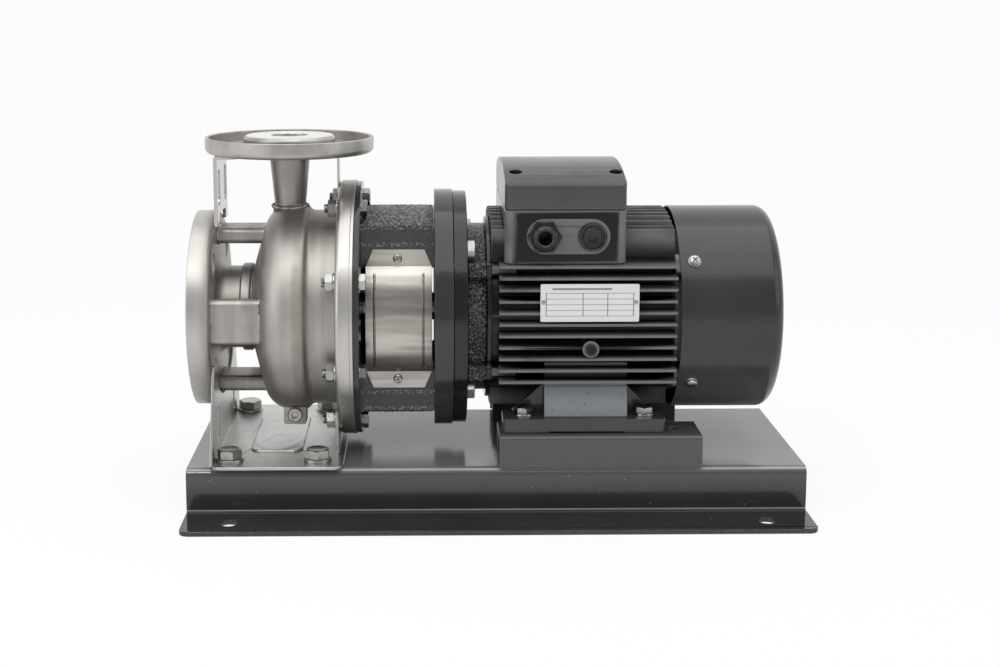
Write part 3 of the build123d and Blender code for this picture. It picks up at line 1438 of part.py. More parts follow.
end_ring_inner = 28.0
end_ring_outer = 39.5
end_ring_length = 10.0
with BuildPart() as rotor_core:
    ring(rotor_start, rotor_end, rotor_seat, rotor_radius)
    ring(rotor_start - end_ring_length, rotor_start, end_ring_inner, end_ring_outer)
    ring(rotor_end, rotor_end + end_ring_length, end_ring_inner, end_ring_outer)
rotor_core.part.label = "rotor_core"
export_step(rotor_core.part, "parts/rotor_core.step")

# Cooling fan, pushed on the shaft's tail
fan_hub = 16.0
fan_blade = 2.5
with BuildPart() as fan:
    ring(fan_hub_start, fan_hub_start + fan_hub_length, fan_seat, fan_hub)
    ring(fan_x, fan_x + 2, fan_seat, fan_radius)
    with BuildSketch(across(fan_x)) as blades:
        with PolarLocations((fan_radius + 2 * fan_hub) / 2, fan_blade_count):
            Rectangle(fan_radius - 2 * fan_hub, fan_blade)
    extrude(blades.sketch, amount=fan_width)
fan.part.label = "fan"
export_step(fan.part, "parts/fan.step")

# Pump shaft, stepped for the seal, the impeller and its nut
impeller_back = cover_front + 0.5
hub_bore = 9.0
nut_thread = 6.0
hub_start = discharge_x - 11.0
impeller_nut_length = 10.0
with BuildPart() as pump_shaft:
    turn(
        [
            (hub_start - impeller_nut_length - 1, 0),
            (hub_start - impeller_nut_length - 1, nut_thread),
            (hub_start, nut_thread),
            (hub_start, hub_bore),
            (impeller_back, hub_bore),
            (impeller_back, shaft_radius),
            (pump_shaft_end, shaft_radius),
            (pump_shaft_end, 0),
        ]
    )
pump_shaft.part.label = "pump_shaft"
export_step(pump_shaft.part, "parts/pump_shaft.step")

# Closed impeller: a hub, two shrouds and six blades that curve back between them
hub_radius = 16.0
neck_start = nose_inside + 1.5
back_shroud = discharge_x + impeller_width / 2
front_shroud = discharge_x - impeller_width / 2
shroud_fall = 6.0  # how far the front shroud falls away from rim to neck
blade_inner = 24.0
blade_sweep = 62.0
blade_curve = 52.0
blade_thick = 2.4


def polar(radius, angle):
    """A point (right, up) at this radius and angle in degrees."""
    return (radius * cos(radians(angle)), radius * sin(radians(angle)))


with BuildPart() as impeller:
    with BuildSketch(across(back_shroud + shroud / 2)) as vanes:
        for i in range(blade_count):
            angle = 360 / blade_count * i
            lead = degrees(blade_thick / blade_inner)
            trail = degrees(blade_thick / impeller_radius)
            tip_start = polar(impeller_radius, angle + blade_sweep)
            tip_end = polar(impeller_radius, angle + blade_sweep + trail)
            nose_start = polar(blade_inner, angle)
            nose_end = polar(blade_inner, angle + lead)
            with BuildLine():
                RadiusArc(nose_start, tip_start, -blade_curve)
                Line(tip_start, tip_end)
                RadiusArc(tip_end, nose_end, blade_curve)
                Line(nose_end, nose_start)
            make_face()
    extrude(vanes.sketch, amount=-impeller_width - shroud_fall)
    turn(
        [
            (back_shroud + shroud / 2, 0),
            (back_shroud + shroud / 2, impeller_radius),
            (front_shroud - shroud / 2, impeller_radius),
            (front_shroud - shroud_fall, impeller_eye + 2),
            (front_shroud - shroud_fall, 0),
        ],
        Mode.INTERSECT,
    )
    turn(
        [
            (neck_start, impeller_eye),
            (neck_start, neck_outer),
            (front_shroud - shroud_fall - shroud, neck_outer),
            (front_shroud - shroud, impeller_radius),
            (front_shroud, impeller_radius),
            (front_shroud - shroud_fall, impeller_eye + 1),
            (front_shroud - shroud_fall - shroud, impeller_eye),
        ]
    )
    ring(back_shroud, back_shroud + shroud, hub_bore, impeller_radius)
    ring(hub_start, impeller_back, hub_bore, hub_radius)
impeller.part.label = "impeller"
export_step(impeller.part, "parts/impeller.step")

with BuildPart() as impeller_nut:
    hex_heads(across(hub_start), [(0, 0)], 19.0, -impeller_nut_length)
    drill(across(hub_start), [(0, 0)], nut_thread + thread_gap, impeller_nut_length)
impeller_nut.part.label = "impeller_nut"
export_step(impeller_nut.part, "parts/impeller_nut.step")

# Mechanical seal: a still seat in the cover's cup, and a head that turns with the shaft
seat_length = 8.0
seat_face = cup_end - seat_length
with BuildPart() as seal_seat:
    ring(seat_face, cup_end, shaft_radius + 1.5, cup_bore - cast_fit)
seal_seat.part.label = "seal_seat"
export_step(seal_seat.part, "parts/seal_seat.step")

with BuildPart() as seal_head:
    turn(
        [
            (impeller_back, shaft_radius + running_gap),
            (impeller_back, 18.0),
            (impeller_back + 2, 18.0),
            (impeller_back + 3, 15.0),
            (impeller_back + 6, 15.0),
            (impeller_back + 7, 18.5),
            (seat_face - 2, 18.5),
            (seat_face - running_gap, 17.0),
            (seat_face - running_gap, shaft_radius + running_gap),
        ]
    )
seal_head.part.label = "seal_head"
export_step(seal_head.part, "parts/seal_head.step")

# Split coupling that clamps both shafts, and its four screws
coupling_split = 1.0
coupling_screw_z = 17.3
coupling_screw_xs = (coupling_start + 10.0, coupling_start + coupling_length - 10.0)
coupling_screw_points = [(x, side * coupling_screw_z) for x in coupling_screw_xs for side in (-1, 1)]
coupling_seat = -9.0
with BuildPart() as coupling:
    ring(coupling_start, coupling_start + coupling_length, shaft_radius, coupling_radius)
    chamfer(coupling.edges().filter_by(GeomType.CIRCLE).sort_by(SortBy.RADIUS)[-2:], 1.5)
    split_block = (coupling_length + 2, 2 * coupling_radius + 2)
    coupling_middle = (coupling_start + coupling_length / 2, 0)
    block(front(-coupling_split / 2), coupling_middle, split_block, -coupling_split, Mode.SUBTRACT)
    keyway = (coupling_length + 2, key_width + 2 * thread_gap)
    block(key_seat, coupling_middle, keyway, -key_height - turning_gap, Mode.SUBTRACT)
    drill(front(coupling_seat), coupling_screw_points, m6_thread + bolt_gap / 2, -coupling_seat)
    drill(front(0), coupling_screw_points, m6_thread + thread_gap, 12)
    well_depth = coupling_radius + coupling_seat
    drill(front(-coupling_radius), coupling_screw_points, m6_cap + bolt_gap / 2, well_depth)
coupling.part.label = "coupling"
export_step(coupling.part, "parts/coupling.step")

with BuildPart() as coupling_screws:
    rod(front(coupling_seat), coupling_screw_points, m6_cap, m6_cap_height)
    rod(front(coupling_seat), coupling_screw_points, m6_thread, coupling_seat - 9)
coupling_screws.part.label = "coupling_screws"
export_step(coupling_screws.part, "parts/coupling_screws.step")
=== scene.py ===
import json
from math import cos, pi, radians, sin, sqrt

import bmesh
import bpy
from mathutils import Matrix, Vector, noise


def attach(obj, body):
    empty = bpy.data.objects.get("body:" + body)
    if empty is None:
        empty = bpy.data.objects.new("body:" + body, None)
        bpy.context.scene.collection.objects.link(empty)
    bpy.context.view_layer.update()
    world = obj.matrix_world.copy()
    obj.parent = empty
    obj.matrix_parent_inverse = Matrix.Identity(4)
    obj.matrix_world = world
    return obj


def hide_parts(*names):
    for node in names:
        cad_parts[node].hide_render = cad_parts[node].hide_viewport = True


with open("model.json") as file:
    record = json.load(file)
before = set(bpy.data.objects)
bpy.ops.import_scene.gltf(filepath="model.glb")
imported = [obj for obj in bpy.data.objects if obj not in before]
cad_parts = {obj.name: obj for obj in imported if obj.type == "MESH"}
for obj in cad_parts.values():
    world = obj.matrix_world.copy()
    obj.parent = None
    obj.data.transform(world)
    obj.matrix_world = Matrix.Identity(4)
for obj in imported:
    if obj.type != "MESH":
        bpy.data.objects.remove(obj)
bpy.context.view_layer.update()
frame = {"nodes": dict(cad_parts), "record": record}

scene = bpy.context.scene
collection = scene.collection
scene.view_settings.view_transform = "Standard"


# Studio: a seamless white sweep under a wide ceiling lamp, with a soft lamp at each side and a
# small one for sparks. The room behind the camera is dim, so polished metal shows bands.
def linked(name, data):
    """A new object in the scene."""
    thing = bpy.data.objects.new(name, data)
    collection.objects.link(thing)
    return thing


class Wire:
    """One output of a node. Arithmetic on it adds Math nodes to the same tree."""

    def __init__(self, tree, socket):
        self.tree, self.socket = tree, socket

    def maths(self, operation, *values):
        """A Math node on these values, or on this one alone."""
        return self.tree.add("ShaderNodeMath", {"operation": operation}, *(values or (self,)))

    def __add__(self, other):
        return self.maths("ADD", self, other)

    def __sub__(self, other):
        return self.maths("SUBTRACT", self, other)

    def __rsub__(self, other):
        return self.maths("SUBTRACT", other, self)

    def __mul__(self, other):
        return self.maths("MULTIPLY", self, other)

    def __truediv__(self, other):
        return self.maths("DIVIDE", self, other)

    def __pow__(self, other):
        return self.maths("POWER", self, other)

    def size(self):
        return self.maths("ABSOLUTE")

    def above(self, other):
        return self.maths("GREATER_THAN", self, other)

    def below(self, other):
        return self.maths("LESS_THAN", self, other)

    def least(self, other):
        return self.maths("MINIMUM", self, other)

    def most(self, other):
        return self.maths("MAXIMUM", self, other)

    def span(self, low, high, to_low=0.0, to_high=1.0):
        """This value read on a smooth scale from low to high."""
        settings = {"interpolation_type": "SMOOTHSTEP"}
        return self.tree.add("ShaderNodeMapRange", settings, self, low, high, to_low, to_high)

    __radd__, __rmul__ = __add__, __mul__


class Wiring:
    """Builds a node tree. Each node's settings are set before its sockets."""

    def __init__(self, tree):
        self.tree = tree

    def add(self, kind, settings=None, *values, out=0, **named):
        """A node of this kind; its sockets take values or wires in order, then by name."""
        node = self.tree.nodes.new(kind)
        for key, value in (settings or {}).items():
            setattr(node, key, value)
        usable = [s for s in node.inputs if s.enabled and not s.is_unavailable]
        pairs = list(zip(usable, values)) + [(find(node.inputs, k), v) for k, v in named.items()]
        for socket, value in pairs:
            if isinstance(value, Wire):
                self.tree.links.new(value.socket, socket)
            elif value is not None:
                socket.default_value = value
        outputs = [s for s in node.outputs if s.enabled and not s.is_unavailable]
        self.last = node
        if not outputs:
            return None
        return Wire(self, outputs[out] if isinstance(out, int) else node.outputs[out])

    def also(self, out):
        """Another output of the node that was added last."""
        return Wire(self, self.last.outputs[out])

    def axes(self, vector):
        """A vector's X, Y and Z."""
        self.add("ShaderNodeSeparateXYZ", None, vector)
        return self.also("X"), self.also("Y"), self.also("Z")

    def noise(self, place, scale, detail):
        """Noise of one scale, or stretched by a scale for each axis."""
        if isinstance(scale, tuple):
            place, scale = self.add("ShaderNodeMapping", None, place, Scale=scale), 1.0
        return self.add("ShaderNodeTexNoise", None, Vector=place, Scale=scale, Detail=detail)


def find(sockets, name):
    """The usable socket whose name has these words, joined by underscores."""
    wanted = name.replace("_", " ").lower()
    return next(s for s in sockets if s.name.lower() == wanted and s.enabled and not s.is_unavailable)


def emptied(owner):
    """The wiring of a world or a material, with no node in it yet."""
    owner.use_nodes = True
    owner.node_tree.nodes.clear()
    return Wiring(owner.node_tree)


paper_white, room_level, fill_level = 0.86, 0.4, 0.62
world = bpy.data.worlds.new("studio")
scene.world = world
sky = emptied(world)
ray = sky.add("ShaderNodeLightPath", out="Is Camera Ray")
mirrored = sky.also("Is Glossy Ray").most(sky.also("Is Transmission Ray"))
_, ahead, up = sky.axes(sky.add("ShaderNodeTexCoord", out="Generated"))
seen = ahead.span(-0.35, 0.5, room_level, 1.0).most(up.span(0.3, 0.85, 0.0, 0.8))
level = ray + (1 - ray) * (mirrored * seen + (1 - mirrored) * fill_level)
sky.add("ShaderNodeOutputWorld", None, sky.add("ShaderNodeBackground", None, (1, 1, 1, 1), level))

sweep_mesh = bpy.data.meshes.new("sweep")
half, tall, back, curve, bends = 4.0, 4.0, 2.2, 1.2, 16
profile = [(-half, 0.0), (back - curve, 0.0)]
profile += [
    (back - curve + curve * sin(pi / 2 * i / bends), curve - curve * cos(pi / 2 * i / bends))
    for i in range(1, bends + 1)
]
profile.append((back, tall))
corners = [(x, y, z) for y, z in profile for x in (-half, half)]
strips = [(2 * i, 2 * i + 1, 2 * i + 3, 2 * i + 2) for i in range(len(profile) - 1)]
sweep_mesh.from_pydata(corners, [], strips)
sweep = linked("sweep", sweep_mesh)
paper = bpy.data.materials.new("white_paper")
card = emptied(paper)
camera_ray = card.add("ShaderNodeLightPath", out="Is Camera Ray")
shiny_ray = card.also("Is Glossy Ray").most(card.also("Is Transmission Ray"))
far = card.axes(card.add("ShaderNodeTexCoord", out="Object"))[1].span(-1.2, 0.8, 0.5, 1.0)
matt = card.add("ShaderNodeBsdfDiffuse", None, (paper_white, paper_white, paper_white, 1))
glow = card.add("ShaderNodeEmission", None, (1, 1, 1, 1), 1.0)
card.add("ShaderNodeOutputMaterial", None, card.add(
    "ShaderNodeMixShader", None, (camera_ray * paper_white).most(shiny_ray * far), matt, glow))
sweep_mesh.materials.append(paper)


def lamp(name, place, target, size, watts):
    """A square soft lamp that faces a point."""
    data = bpy.data.lights.new(name, "AREA")
    data.size, data.energy = size, watts
    thing = linked(name, data)
    thing.matrix_world = Matrix.Translation(place) @ (
        (Vector(target) - Vector(place)).to_track_quat("-Z", "Y").to_matrix().to_4x4()
    )


lamp("ceiling_lamp", (0.0, -0.35, 1.7), (0, 0, 0.1), 2.2, 18)
lamp("left_lamp", (-1.5, -0.9, 0.8), (0, 0, 0.15), 1.3, 7)
lamp("right_lamp", (1.7, -0.9, 0.9), (0, 0, 0.15), 1.3, 5)
lamp("spark_lamp", (-0.5, -1.1, 1.5), (0, 0, 0.15), 0.16, 2.2)

# Camera. It stands a little above the pump and nearly square to its shaft, as the photograph has
# it, and its shift gives the photograph's framing.
eye, swing, dip = (-0.06005, -1.31834, 0.42608), 0.0147, 0.1548
sensor, focal_length, shift = 36.0, 55.786, (0.0541, -0.1)
forward = Vector((sin(swing) * cos(dip), cos(swing) * cos(dip), -sin(dip)))
right = Vector((cos(swing), -sin(swing), 0))
stance = Matrix((right, right.cross(forward), -forward)).transposed().to_4x4()
lens = bpy.data.cameras.new("camera")
lens.sensor_width, lens.lens = sensor, focal_length
lens.shift_x, lens.shift_y = shift
camera = linked("camera", lens)
camera.matrix_world = Matrix.Translation(eye) @ stance
scene.camera = camera


# Base frame. One steel sheet folded to a hat section and open at both ends, in glossy black
# enamel with a little dust caught in it, and painted highlights and sheen in its colour. The pump,
# the motor's supports and the floor bolt to it.
def mixed(nodes, factor, first, second):
    """A colour between two others."""
    settings = {"data_type": "RGBA", "clamp_factor": True}
    first, second = ((*c, 1) if isinstance(c, tuple) else c for c in (first, second))
    return nodes.add("ShaderNodeMix", settings, factor, first, second)


def finish(name, colour, rough, metallic=0.0, drift=0.12, patch=18.0, swing=0.06, grain=900.0,
           relief=0.0, stretch=(1.0, 1.0, 1.0), coat=0.0, gloss_level=0.5, change=None):
    """A finish whose colour and gloss drift in patches over a fine relief.
    change(nodes, place, colour, rough, height) may return these three altered."""
    material = bpy.data.materials.new(name)
    nodes = emptied(material)
    place = nodes.add("ShaderNodeTexCoord", out="Object")
    drawn = nodes.add("ShaderNodeMapping", None, place, Scale=stretch)
    patches, height = nodes.noise(drawn, patch, 4.0), nodes.noise(drawn, grain, 3.0)
    light = tuple(min(1.0, c * (1 + drift)) for c in colour)
    dark = tuple(c * (1 - drift) for c in colour)
    shade = mixed(nodes, patches.span(0.3, 0.7), dark, light)
    gloss = rough + (patches - 0.5) * (2 * swing) + (height - 0.5) * swing
    if change:
        shade, gloss, height = change(nodes, place, shade, gloss, height)
    bump = nodes.add("ShaderNodeBump", None, Strength=1.0, Distance=relief, Height=height)
    shader = nodes.add(
        "ShaderNodeBsdfPrincipled", None, Base_Color=shade, Metallic=metallic, Roughness=gloss,
        Normal=bump, Coat_Weight=coat, Coat_Roughness=0.08, Specular_IOR_Level=gloss_level)
    nodes.add("ShaderNodeOutputMaterial", None, shader)
    return material


def settled(piece):
    """Turns a piece's modifiers into plain mesh."""
    bpy.context.view_layer.update()
    depsgraph = bpy.context.evaluated_depsgraph_get()
    mesh = bpy.data.meshes.new_from_object(piece.evaluated_get(depsgraph))
    piece.modifiers.clear()
    piece.data = mesh
    return piece


def belongs(piece, slot, *nodes):
    """Says what a finished piece moves with and hides the nodes it stands for; its slot is not used."""
    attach(piece, "pump_body")
    if nodes:
        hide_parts(*nodes)
    return piece


def dressed(name, node, material, slot, width=0.0004, rounds=2, angle=30):
    """A smooth copy of a CAD node with its edges rounded, or wholly soft if width is 0."""
    mesh = frame["nodes"][node].data.copy()
    mesh.name = name
    mesh.materials.clear()
    mesh.materials.append(material)
    work = bmesh.new()
    work.from_mesh(mesh)
    bmesh.ops.remove_doubles(work, verts=work.verts, dist=1e-6)
    bmesh.ops.dissolve_limit(work, angle_limit=radians(0.4), verts=work.verts, edges=work.edges)
    for face in work.faces:
        face.smooth = True
        face.material_index = 0
    work.to_mesh(mesh)
    work.free()
    if "custom_normal" in mesh.attributes:
        mesh.attributes.remove(mesh.attributes["custom_normal"])
    piece = linked(name, mesh)
    if width:
        bevel = piece.modifiers.new("edges", "BEVEL")
        bevel.width, bevel.segments, bevel.limit_method = width, rounds, "ANGLE"
        bevel.angle_limit, bevel.use_clamp_overlap = radians(angle), False
        weighted = piece.modifiers.new("normals", "WEIGHTED_NORMAL")
        weighted.keep_sharp = True
    else:
        mesh.set_sharp_from_angle(angle=radians(angle))
    return belongs(settled(piece), slot, node)


def dusty(nodes, place, colour, rough, height):
    """Specks of dust, a dust film with painted sheen on the top face, painted highlights along the bends, a
    web painted lighter towards its top, and grit by the floor.
    """
    base_top, top_bend, foot_bend, foot_top = 0.0398, 0.0386, 0.0052, 0.006
    web_side, top_side, foot_side = 0.0885, 0.0895, 0.098
    cells = nodes.add("ShaderNodeTexVoronoi", None, Vector=place, Scale=95.0)
    cloud = nodes.noise(place, 9.0, 2.0)
    speck = cells.below(0.045) * cloud.span(0.45, 0.6)
    _, y, level = nodes.axes(place)
    y = y.size()
    # Painted sheen: the top face is lighter, as if it reflected the sky, in a cloudy dust film.
    film = (level - base_top).size().below(0.0006) * (0.5 + cloud * 0.5)
    colour = mixed(nodes, film, colour, (0.22, 0.226, 0.238))
    # Painted sheen: the web is lighter towards its top.
    web = level.span(0.012, 0.036) * (1 - film)
    colour = mixed(nodes, web * 0.8, colour, (0.08, 0.081, 0.081))
    # Painted highlights: light lines along the top bend and the foot bend.
    upper = (1 - (level - top_bend).size().span(0.0002, 0.0009)) * y.above(top_side)
    lower = (1 - (level - foot_bend).size().span(0.0002, 0.0008)) * y.above(web_side)
    lower = lower * y.below(foot_side)
    colour = mixed(nodes, upper.most(lower) * 0.8, colour, (0.4, 0.41, 0.43))
    grit = nodes.noise(place, 700.0, 2.0).span(0.56, 0.66) * cloud * level.below(foot_top)
    colour = mixed(nodes, grit * 0.6, colour, (0.12, 0.123, 0.127))
    return mixed(nodes, speck * 0.7, colour, (0.3, 0.3, 0.29)), rough + speck * 0.5 + film * 0.05, height


black_enamel = finish("black_enamel", (0.026, 0.0265, 0.0275), 0.1, grain=330.0, relief=0.000015,
                      swing=0.04, change=dusty)
dressed("folded_base", "base_frame", black_enamel, "base_black", width=0.0006)


# Fasteners of the pump's foot. Plain hexagon bolts, cold headed and thread rolled, on large
# washers, with nuts under the base. The same makers serve every fastener further on.
def meshed(name, work, smooth=True):
    """The mesh that the faces in work make; work itself is freed."""
    for face in work.faces:
        face.smooth = smooth
    mesh = bpy.data.meshes.new(name)
    work.to_mesh(mesh)
    work.free()
    return mesh


def lathed(name, loops, count=48):
    """A solid from loops round Z, each a radius and a height, as numbers or rules of the angle.
    A radius of 0 ends it in a point; without one the last loop joins the first."""
    work = bmesh.new()
    rings = []
    for radius, height in loops:
        ring = []
        for angle in [2 * pi * i / count for i in range(1 if radius == 0 else count)]:
            out = radius(angle) if callable(radius) else radius
            up = height(angle) if callable(height) else height
            ring.append(work.verts.new((out * cos(angle), out * sin(angle), up)))
        rings.append(ring)
    pairs = list(zip(rings, rings[1:]))
    if len(rings[0]) > 1:
        pairs.append((rings[-1], rings[0]))
    for low, high in pairs:
        for i in range(count):
            ends = [(low, i), (low, i + 1), (high, i + 1), (high, i)]
            work.faces.new(dict.fromkeys(ring[at % len(ring)] for ring, at in ends))
    bmesh.ops.recalc_face_normals(work, faces=work.faces)
    return linked(name, meshed(name, work))


def hexagon(flats):
    """Radius of a hexagon at an angle."""
    return lambda angle: flats / 2 / cos(angle % (pi / 3) - pi / 6)


face_share, thread_length = 0.47, 0.014


def chamfered(flats, height, sense=1):
    """Height of a turned chamfer where it meets a hexagon's sides."""
    return lambda angle: height - sense * 0.45 * (hexagon(flats)(angle) - flats * face_share)


def thread(radius, pitch, start, end):
    """Loops of a rolled thread from start up to end."""
    depth, steps = 0.55 * pitch, int((end - start) / pitch * 4)
    heights = [start + (end - start) * i / steps for i in range(steps + 1)]
    return [
        (lambda angle, z=z: radius - depth * abs(2 * ((z / pitch - angle / (2 * pi)) % 1) - 1), z)
        for z in heights
    ]


def bolt(radius, pitch, flats, height, length):
    """A hexagon bolt whose seat is at Z = 0."""
    top, tip, shank_foot = flats * face_share, radius - 0.6 * pitch, thread_length - length
    return lathed("bolt", [
        (0, -length), (tip, -length), *thread(radius, pitch, 0.4 * pitch - length, shank_foot),
        (radius, shank_foot + 0.0004), (radius, 0), (flats * 0.46, 0), (flats * 0.46, 0.0004),
        (hexagon(flats), 0.0004), (hexagon(flats), chamfered(flats, height)), (top, height),
        (top * 0.93, height), (top * 0.86, height - 0.0002), (0, height - 0.0002),
    ])


def nut(bore, flats, height):
    """A hexagon nut that stands on Z = 0."""
    face = flats * face_share
    return lathed("nut", [
        (bore, 0.0006), (bore * 1.1, 0), (face, 0), (hexagon(flats), chamfered(flats, 0, -1)),
        (hexagon(flats), chamfered(flats, height)), (face, height), (bore * 1.12, height),
        (bore, height - 0.0006),
    ])


def washer(inner, outer, thick):
    """A punched washer with one rounded edge, lying on Z = 0."""
    return lathed("washer", [
        (inner, 0), (outer, 0), (outer, thick * 0.6), (outer - thick * 0.12, thick * 0.88),
        (outer - thick * 0.4, thick), (inner, thick),
    ])


fastening = bpy.data.node_groups.new("fastening", "GeometryNodeTree")
sockets = {
    label: fastening.interface.new_socket(label, in_out="INPUT", socket_type="NodeSocket" + kind)
    for label, kind in (("Geometry", "Geometry"), ("Shape", "Object"), ("Finish", "Material"),
                        ("Turn", "Float"), ("Seed", "Int"))
}
fastening.interface.new_socket("Geometry", in_out="OUTPUT", socket_type="NodeSocketGeometry")
group = Wiring(fastening)
given = group.add("NodeGroupInput", out="Geometry")
shape, coat, most_turn, seed = (group.also(label) for label in ("Shape", "Finish", "Turn", "Seed"))
facing = group.add("GeometryNodeInputNamedAttribute", {"data_type": "FLOAT_VECTOR"}, "facing")
aligned = group.add("FunctionNodeAlignRotationToVector", {"axis": "Z"}, Vector=facing)
chance = group.add("FunctionNodeRandomValue", {"data_type": "FLOAT"}, Min=0.0, Max=most_turn, Seed=seed)
twist = group.add("FunctionNodeAxisAngleToRotation", None, (0, 0, 1), chance)
turned = group.add("FunctionNodeRotateRotation", {"rotation_space": "LOCAL"}, aligned, twist)
form = group.add("GeometryNodeObjectInfo", None, shape, True, out="Geometry")
copies = group.add("GeometryNodeInstanceOnPoints", None, Points=given, Instance=form, Rotation=turned)
whole = group.add("GeometryNodeRealizeInstances", None, copies)
group.add("NodeGroupOutput", None, group.add("GeometryNodeSetMaterial", None, whole, Material=coat))


def placed(name, shape, material, slot, spots, *nodes, turn=pi / 3):
    """Copies of a shape on spots, each a point and the way its top faces."""
    points = bpy.data.meshes.new(name)
    points.from_pydata([spot for spot, _ in spots], [], [])
    ways = points.attributes.new("facing", "FLOAT_VECTOR", "POINT")
    for entry, (_, way) in zip(ways.data, spots):
        entry.vector = way
    piece = linked(name, points)
    recipe = piece.modifiers.new("recipe", "NODES")
    recipe.node_group = fastening
    values = {"Shape": shape, "Finish": material, "Turn": turn, "Seed": len(name)}
    for label, value in values.items():
        recipe[sockets[label].identifier] = value
    settled(piece)
    bpy.data.objects.remove(shape)
    piece.data.set_sharp_from_angle(angle=radians(28))
    return belongs(piece, slot, *nodes)


def solids(node):
    """The lowest and highest corner of each separate solid of a CAD node."""
    work = bmesh.new()
    work.from_mesh(frame["nodes"][node].data)
    bmesh.ops.remove_doubles(work, verts=work.verts, dist=1e-6)
    boxes, left = [], {vert.index: vert for vert in work.verts}
    while left:
        reached = [left.popitem()[1]]
        for vert in reached:
            for edge in vert.link_edges:
                other = left.pop(edge.other_vert(vert).index, None)
                if other:
                    reached.append(other)
        places = [vert.co for vert in reached]
        boxes.append(tuple(Vector([pick(p[i] for p in places) for i in range(3)]) for pick in (min, max)))
    work.free()
    return sorted(boxes, key=lambda box: tuple(box[0]))


def seats(node, way, height, chosen=None):
    """Where a node's solids are seated, height back from their ends, and which way those face."""
    axis, found = [abs(part) for part in way].index(1), []
    for low, high in solids(node):
        if chosen is None or chosen(low, high):
            seat = (low + high) / 2
            seat[axis] = (high if way[axis] > 0 else low)[axis] - way[axis] * height
            found.append((seat, way))
    return found


def fitted(name, node, maker, size, way, metal, chosen=None, **more):
    """A bolt, nut or washer on each solid chosen; its size ends with its height."""
    placed(name, maker(*size, **more), *metal, seats(node, way, size[-1], chosen), node)


def plated(nodes, place, colour, rough, height):
    """Zinc or bare steel, a little darker and duller in cloudy patches."""
    cloud = nodes.noise(place, 160.0, 5.0)
    return mixed(nodes, cloud.span(0.5, 0.75) * 0.55, colour, (0.2, 0.19, 0.17)), rough + cloud * 0.12, height


to_top, to_floor = (0, 0, 1), (0, 0, -1)
m12_bolt, m12_length = (0.006, 0.00175, 0.018, 0.0075), 0.0225
m12_washer, m12_nut = (0.00625, 0.0115, 0.0025), (0.00605, 0.018, 0.01)
dull_zinc = finish("plain_bolt_steel", (0.43, 0.42, 0.4), 0.27, 1.0, grain=1600.0, relief=0.00003,
                   change=plated)
dull = (dull_zinc, "dull_zinc")
fitted("foot_hex_bolts", "foot_bolts", bolt, m12_bolt, to_top, dull, length=m12_length)
fitted("foot_round_washers", "foot_washers", washer, m12_washer, to_top, dull)
fitted("foot_hex_nuts", "foot_nuts", nut, m12_nut, to_floor, dull)


# Pump foot. Pickled stainless sheet, folded up at the flange, with a pressed ring and ribs that
# stiffen the plate between the bolts.
def pressed_ribs(nodes, place, colour, rough, height):
    """Raised lines in the foot's plate, from bolt to bolt."""
    x, y, z = nodes.axes(place)
    plate_x, bolt_x, bolt_y, bend_z, ring_share = -0.1843, 0.0363, 0.078, 0.06, 0.62
    u, v = (x - plate_x) / bolt_x, y / bolt_y
    ribs = (u - v).size().least((u + v).size()) + 0.05
    circle = ((u * u + v * v) ** 0.5 - ring_share).size()
    rib = (1 - ribs.least(circle).span(0.03, 0.12)) * z.below(bend_z) * 0.4
    smear = nodes.noise(place, 60.0, 5.0)
    return mixed(nodes, smear.span(0.55, 0.8) * 0.5, colour, (0.24, 0.22, 0.2)), rough, height * 0.03 + rib


pickled = finish("pickled_sheet", (0.52, 0.515, 0.5), 0.36, 1.0, patch=30.0, grain=1500.0, relief=0.0009,
                 change=pressed_ribs)
dressed("foot_plate", "pump_foot", pickled, "foot_steel", width=0.0008, rounds=3)


# Casing. A bowl pressed from stainless sheet and glass blasted to a warm satin, with its pipe, neck
# and struts welded on, and a milled drain block with a socket plug. Welds leave a tint beside them.
def blasted_bands(nodes, place, colour, rough, height):
    """Faint bands round the casing, a tint in its valley and by the pipe's weld, small stains."""
    x = nodes.axes(place)[0]
    band = nodes.noise(place, (170.0, 6.0, 6.0), 3.0)
    stain = nodes.noise(place, 45.0, 6.0)
    valley_x, nose_x = -0.158, -0.204
    valley = 1 - (x - valley_x).size().span(0.003, 0.012)
    nose = 1 - (x - nose_x).size().span(0.002, 0.009)
    tint = valley.most(nose) * stain.span(0.3, 0.7)
    toned = mixed(nodes, band.span(0.35, 0.7) * 0.5, colour, (0.33, 0.31, 0.285))
    toned = mixed(nodes, tint * 0.6, toned, (0.27, 0.235, 0.2))
    return mixed(nodes, stain.span(0.62, 0.8) * 0.35, toned, (0.2, 0.18, 0.16)), rough + tint * 0.1, height


blasted = finish("blasted_casing", (0.45, 0.435, 0.41), 0.47, 1.0, drift=0.08, patch=22.0, grain=2600.0,
                 relief=0.00005, change=blasted_bands)
dressed("casing_bowl", "casing_shell", blasted, "casing_steel", width=0.0005)
dressed("pipe_stub", "suction_pipe", blasted, "casing_steel", width=0.0008, rounds=3)
dressed("box_struts", "flange_struts", blasted, "casing_steel", width=0.0, angle=80)
neck_steel = finish("blasted_neck", (0.34, 0.325, 0.305), 0.42, 1.0, drift=0.14, patch=30.0, grain=2600.0,
                    relief=0.00005)
dressed("neck_tube", "discharge_neck", neck_steel, "casing_steel", width=0.0005)
dressed("drain_block", "drain_boss", blasted, "casing_steel", width=0.0005)
to_front, plug_head = (0, -1, 0), 0.004
socket_plug = lathed("plug", [
    (0, -0.008), (0.0034, -0.008), *thread(0.004, 0.001, -0.0075, 0), (0.006, 0), (0.006, 0.0032),
    (0.0052, plug_head), (0.0036, plug_head), (hexagon(0.0052), 0.0034), (hexagon(0.0052), 0.001),
    (0, 0.0007)])
placed("drain_socket_plug", socket_plug, *dull, seats("drain_plug", to_front, plug_head), "drain_plug",
       turn=0.4)
